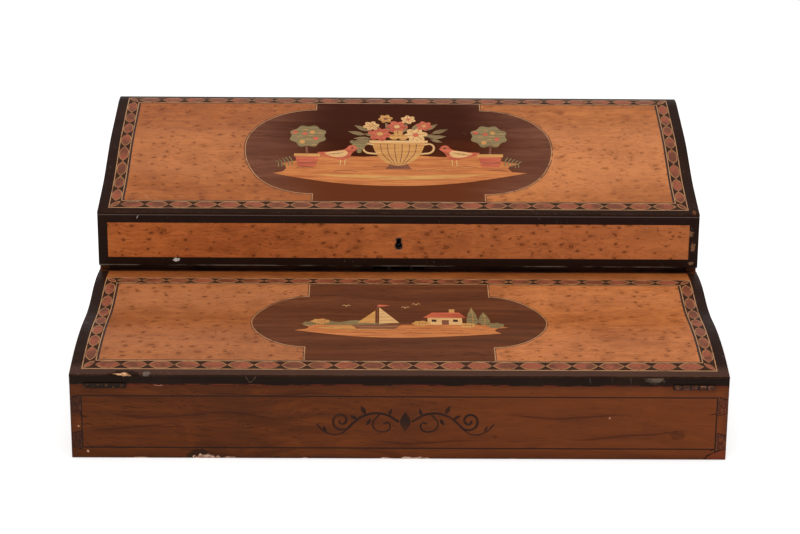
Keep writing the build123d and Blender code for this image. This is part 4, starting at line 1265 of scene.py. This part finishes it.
for side in (-1, 1):
    x = side * 63
    sawn("coral", [(x - 6, 50), (x + 6, 50), (x + 8, 59), (x - 8, 59)], sharp=square)
    sawn("box", [(x - 9, 59), (x + 9, 59), (x + 9, 61.6), (x - 9, 61.6)], sharp=square)
    engraved([(x - 6.6, 54), (x, 53.2), (x + 6.6, 54)], 0.5, "briar")
    engraved([(x, 61), (x + side * 0.6, 68), (x, 74)], 1.7, "briar", "leaves")
    crown = [((13.4 if step % 2 else 11.4) * math.cos(math.tau * step / 16),
              (13.0 if step % 2 else 11.0) * math.sin(math.tau * step / 16)) for step in range(16)]
    sawn("olive", crown, "leaves", (x, 80))
    for step in range(11):
        turn = step * 2.4
        reach = 2.2 + 0.85 * step
        spot = (x + reach * math.cos(turn), 80 + reach * math.sin(turn))
        if step % 2:
            sawn("coral" if step % 4 == 1 else "box", oval(1.9, 1.9, 6), at=spot)
        else:
            engraved([(spot[0] - 1.8, spot[1] - 0.9), spot, (spot[0] + 1.8, spot[1] - 0.9)], 0.5, "box", "figures")
    for step in range(5):
        tuft = side * (73 + 2.3 * step)
        engraved([(tuft, 51 - step * 0.4), (tuft + side * 0.6, 56 - step * 0.5), (tuft + side * 2.4, 59 - step)],
                 0.8, "olive", "figures")

set_picture("lid")


# Picture of the flap. A sailing boat off a low shore with a cottage, two cypresses and bushes, sawn from
# the same woods as the lid's and let into the flap's cartouche.

shore = -69.94
sawn("ledge", [(-66, -14), (-57, -10), (-61, -6), (-44, -3.5), (-20, -6), (8, -5), (36, -3.5), (56, -6), (69, -9),
               (60, -13), (64, -18), (32, -22), (0, -24), (-30, -22), (-50, -18)], "ledge", (0, shore),
     sharp=(0, 2, 8, 10))
sawn("olive", [(-58, -5), (-47, 1.5), (-38, -1), (-28, 2.5), (-16, -1.5), (-6, -5.5), (-30, -6.5)], "leaves",
     (0, shore), sharp=(0, 5))
sawn("box", [(-52, -11), (-24, -13.5), (-2, -12), (-8, -9.5), (-26, -8), (-44, -8.5)], "leaves", (0, shore),
     sharp=(0, 2))
for x, y, run in ((-50, -10, 9), (-38, -12, 12), (-22, -10.5, 10), (-8, -13, 12), (8, -11, 12), (26, -14, 14),
                  (-30, -17, 16), (2, -18, 18), (30, -18.5, 14), (46, -12, 8)):
    engraved([(x, y), (x + run / 3, y + 0.6), (x + run * 0.7, y - 0.4), (x + run, y + 0.1)], 0.4, "briar", "leaves",
             (0, shore))
at = (-14, shore - 3)
engraved([(0, -3), (0, 29)], 0.8, "briar", "leaves", at)
sawn("briar", [(-16, -3), (-13, -9), (11, -9), (15.5, -2.2)], "lines", at, sharp=square)
engraved([(-14.6, -5), (0, -5.8), (13.6, -4.8)], 0.5, "box", "lines", at)
sawn("holly", [(1.2, -0.5), (1.2, 26), (8, 14), (14, 0.6)], "figures", at, sharp=(0, 1, 3))
sawn("box", [(-1.2, 0), (-1.2, 22), (-7, 12), (-12.5, 0.8)], "figures", at, sharp=(0, 1, 3))
for step in range(3):
    engraved([(1.8, 5 + 6 * step), (11 - 3.2 * step, 5.5 + 6 * step)], 0.35, "briar", "lines", at)
sawn("coral", [(0.4, 26.5), (0.4, 29.5), (4, 29), (8.5, 28)], "figures", at, sharp=(0, 1, 3))
at = (29, shore)
sawn("holly", [(-11, -5), (-11, 8), (11, 8), (11, -5)], "figures", at, sharp=square)
sawn("coral", [(-14, 7.4), (-8, 16), (9.5, 16), (14, 7.4)], "lines", at, sharp=square)
sawn("box", [(3, 13), (3, 20.5), (6.6, 20.5), (6.6, 13)], "figures", at, sharp=square)
sawn("briar", [(-2, -5), (-2, 3), (2.4, 3), (2.4, -5)], "lines", at, sharp=square)
for x in (-8.4, 5.2):
    sawn("dark", [(x, 0), (x, 4), (x + 3, 4), (x + 3, 0)], "lines", at, sharp=square)
for x, high in ((46.5, 24), (54, 17)):
    sawn("olive", [(x, high), (x + 3.2, high * 0.35), (x + 1.6, -5), (x - 1.6, -5), (x - 3.2, high * 0.35)],
         "figures", (0, shore), sharp=(0,))
    engraved([(x, high - 3), (x + 0.6, high * 0.4), (x, -4)], 0.4, "box", "lines", (0, shore))
for x, y, size, wood in ((14, -5, 5.0, "box"), (61, -8, 4.6, "olive"), (-50, -2, 5.2, "box"),
                         (-57, -6, 3.8, "olive"), (43, -8, 4.2, "box")):
    bush = [((size if step % 2 else size * 0.8) * 1.25 * math.cos(math.tau * step / 14),
             (size if step % 2 else size * 0.8) * math.sin(math.tau * step / 14)) for step in range(14)]
    sawn(wood, bush, "figures", (x, shore + y + 2))
    for lean in (-1.6, 0.4, 2.2):
        engraved([(x + lean, y + 0.6), (x + lean + 0.8, y + 3.6)], 0.4, "briar", "lines", (0, shore))
for x, y in ((4, 22), (11, 26), (-34, 24)):
    engraved([(x - 2.6, y + 1), (x - 1, y + 1.5), (x, y), (x + 1, y + 1.5), (x + 2.6, y + 1)], 0.5, "holly", "lines",
             (0, shore))

set_picture("flap")


# Ornament of the front. Two mirrored scrolls with leaves about a lozenge, drawn with a pen in dark ink
# stain and fixed under the polish, in the middle of the front board.

front_face = -0.132741
ink_at = (3.5, 24)
for flip in (-1, 1):
    scroll = [(4, 0), (13, 5), (25, 4), (33, -2)]
    for step in range(9):
        turn = math.radians(-120 + step * 62)
        reach = 6.2 - step * 0.66
        scroll.append((39 + reach * math.cos(turn), 0.6 + reach * math.sin(turn)))
    engraved(scroll, 1.5, "dark", "ink", ink_at, flip)
    back_curl = [(16, 4.6), (20, -2), (15, -6.4), (9.6, -4.4), (10.4, -0.6), (13.4, -1.4)]
    engraved(back_curl, 1.0, "dark", "ink", ink_at, flip)
    engraved([(33, -2), (40, -8), (49, -6.6), (54, -1.6)], 0.9, "dark", "ink", ink_at, flip)
    for x, y, turn, length in ((24, 4.4, 62, 7.0), (29, 1.6, 28, 5.6), (21, 2.0, -58, 5.4), (10, 4.0, 110, 5.0),
                               (48, -6.6, 60, 4.6)):
        turn = math.radians(turn)
        sawn("dark", [(0, 0), (length * 0.45, length * 0.2), (length, 0), (length * 0.45, -length * 0.2)], "ink",
             (ink_at[0] + x * flip, ink_at[1] + y), sharp=(0, 2), turn=turn if flip > 0 else math.pi - turn)
sawn("dark", [(0, 6.4), (3.4, 0), (0, -6.4), (-3.4, 0)], "ink", ink_at, sharp=(0, 2))
ornament = joined(picture["ink"], "front_scroll_ornament", rotation_euler=(quarter, 0, 0),
                  location=(0, front_face - 0.00003, 0))
face_the_eye(lambda face: face.normal.y > 0)
thickened(ornament, 0.00004)
ink, shader, place = finish("dark ink stain")
faded = fade(noise(place, 90.0, 4.0, 0.6), 0.42, 0.7)
wood = tint(faded * 0.6, rgb(44, 24, 16), rgb(84, 44, 26))
coat(shader, wood, faded * 0.1 + 0.42)
ornament.data.materials.clear()
ornament.data.materials.append(ink)
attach(ornament, "root")
picture.clear()


# Lid boards. Walnut sides and back, and a softwood top and front under the veneers, glued and nailed as
# a shallow hood and stained to match the base.

for side, shift in (("left", (0.4, 0.2, 0.8)), ("right", (0.1, 0.7, 0.3))):
    dress_eased(walnut_board("walnut of the lid's " + side + " side", "lid_side_" + side, (0, 0, quarter), shift,
                             rgb(116, 62, 32), rgb(76, 40, 20)), "lid_side_" + side, "lid", 0.0004,
                lambda middle, up: abs(middle.x) > side_arris and middle.z < 0.0850)
dress_eased(walnut_board("walnut of the lid's back", "lid_back_board", (0, 0, 0), (0.3, 0.5, 0.9),
                         rgb(112, 60, 33), rgb(74, 39, 21)), "lid_back_board", "lid", 0.0004,
            lambda middle, up: on_lid_axis(middle) or middle.y > end_arris and abs(middle.x) > side_arris)
for side, shift in (("top", (0.7, 0.2, 0.6)), ("front", (0.6, 0.8, 0.2))):
    softwood_board("softwood of the lid's " + side, "lid_" + side + "_board", shift, (180, 130, 84), (134, 88, 54))


# Lock. A brass cut lock screwed behind the lid's front, with its bolt, the plate with two hooks on the
# rail, and a thin brass liner in the keyhole.

low, high = corner("keyhole_liner")
keyhole_at = [(start + end) / 2 for start, end in zip(low, high)]
# The lock plate and cap are darkened round the keyhole as painted shade.
dress(brass("brass of the lock", rgb(176, 140, 84), rgb(70, 50, 34), 0.52, keyhole_at), "lock_plate", "lock_cap")
dress(brass("blackened brass of the link plate", rgb(110, 84, 54), rgb(40, 28, 20), 0.72), "link_plate")
dress(brass("brass of the bolt", rgb(204, 170, 108), rgb(120, 96, 62), 0.3), "lock_bolt")
liner_brass, shader, place = finish("dull brass of the keyhole liner")
metal = use(aged_brass, Place=place, Bright=rgb(148, 96, 72), Dull=rgb(98, 52, 32), Tarnish=0.55)
# Painted shade: the liner is near-black inside the keyhole, behind its front rim.
inside = fade(parts(place)[1], low[1] + 0.0001, low[1] + 0.0004)
shader["Metallic"].default_value = 0.2
coat(shader, tint(inside, metal["Colour"], rgb(14, 9, 6)), metal["Roughness"], 0.5, metal["Height"], 0.00005)
dress(liner_brass, "keyhole_liner")
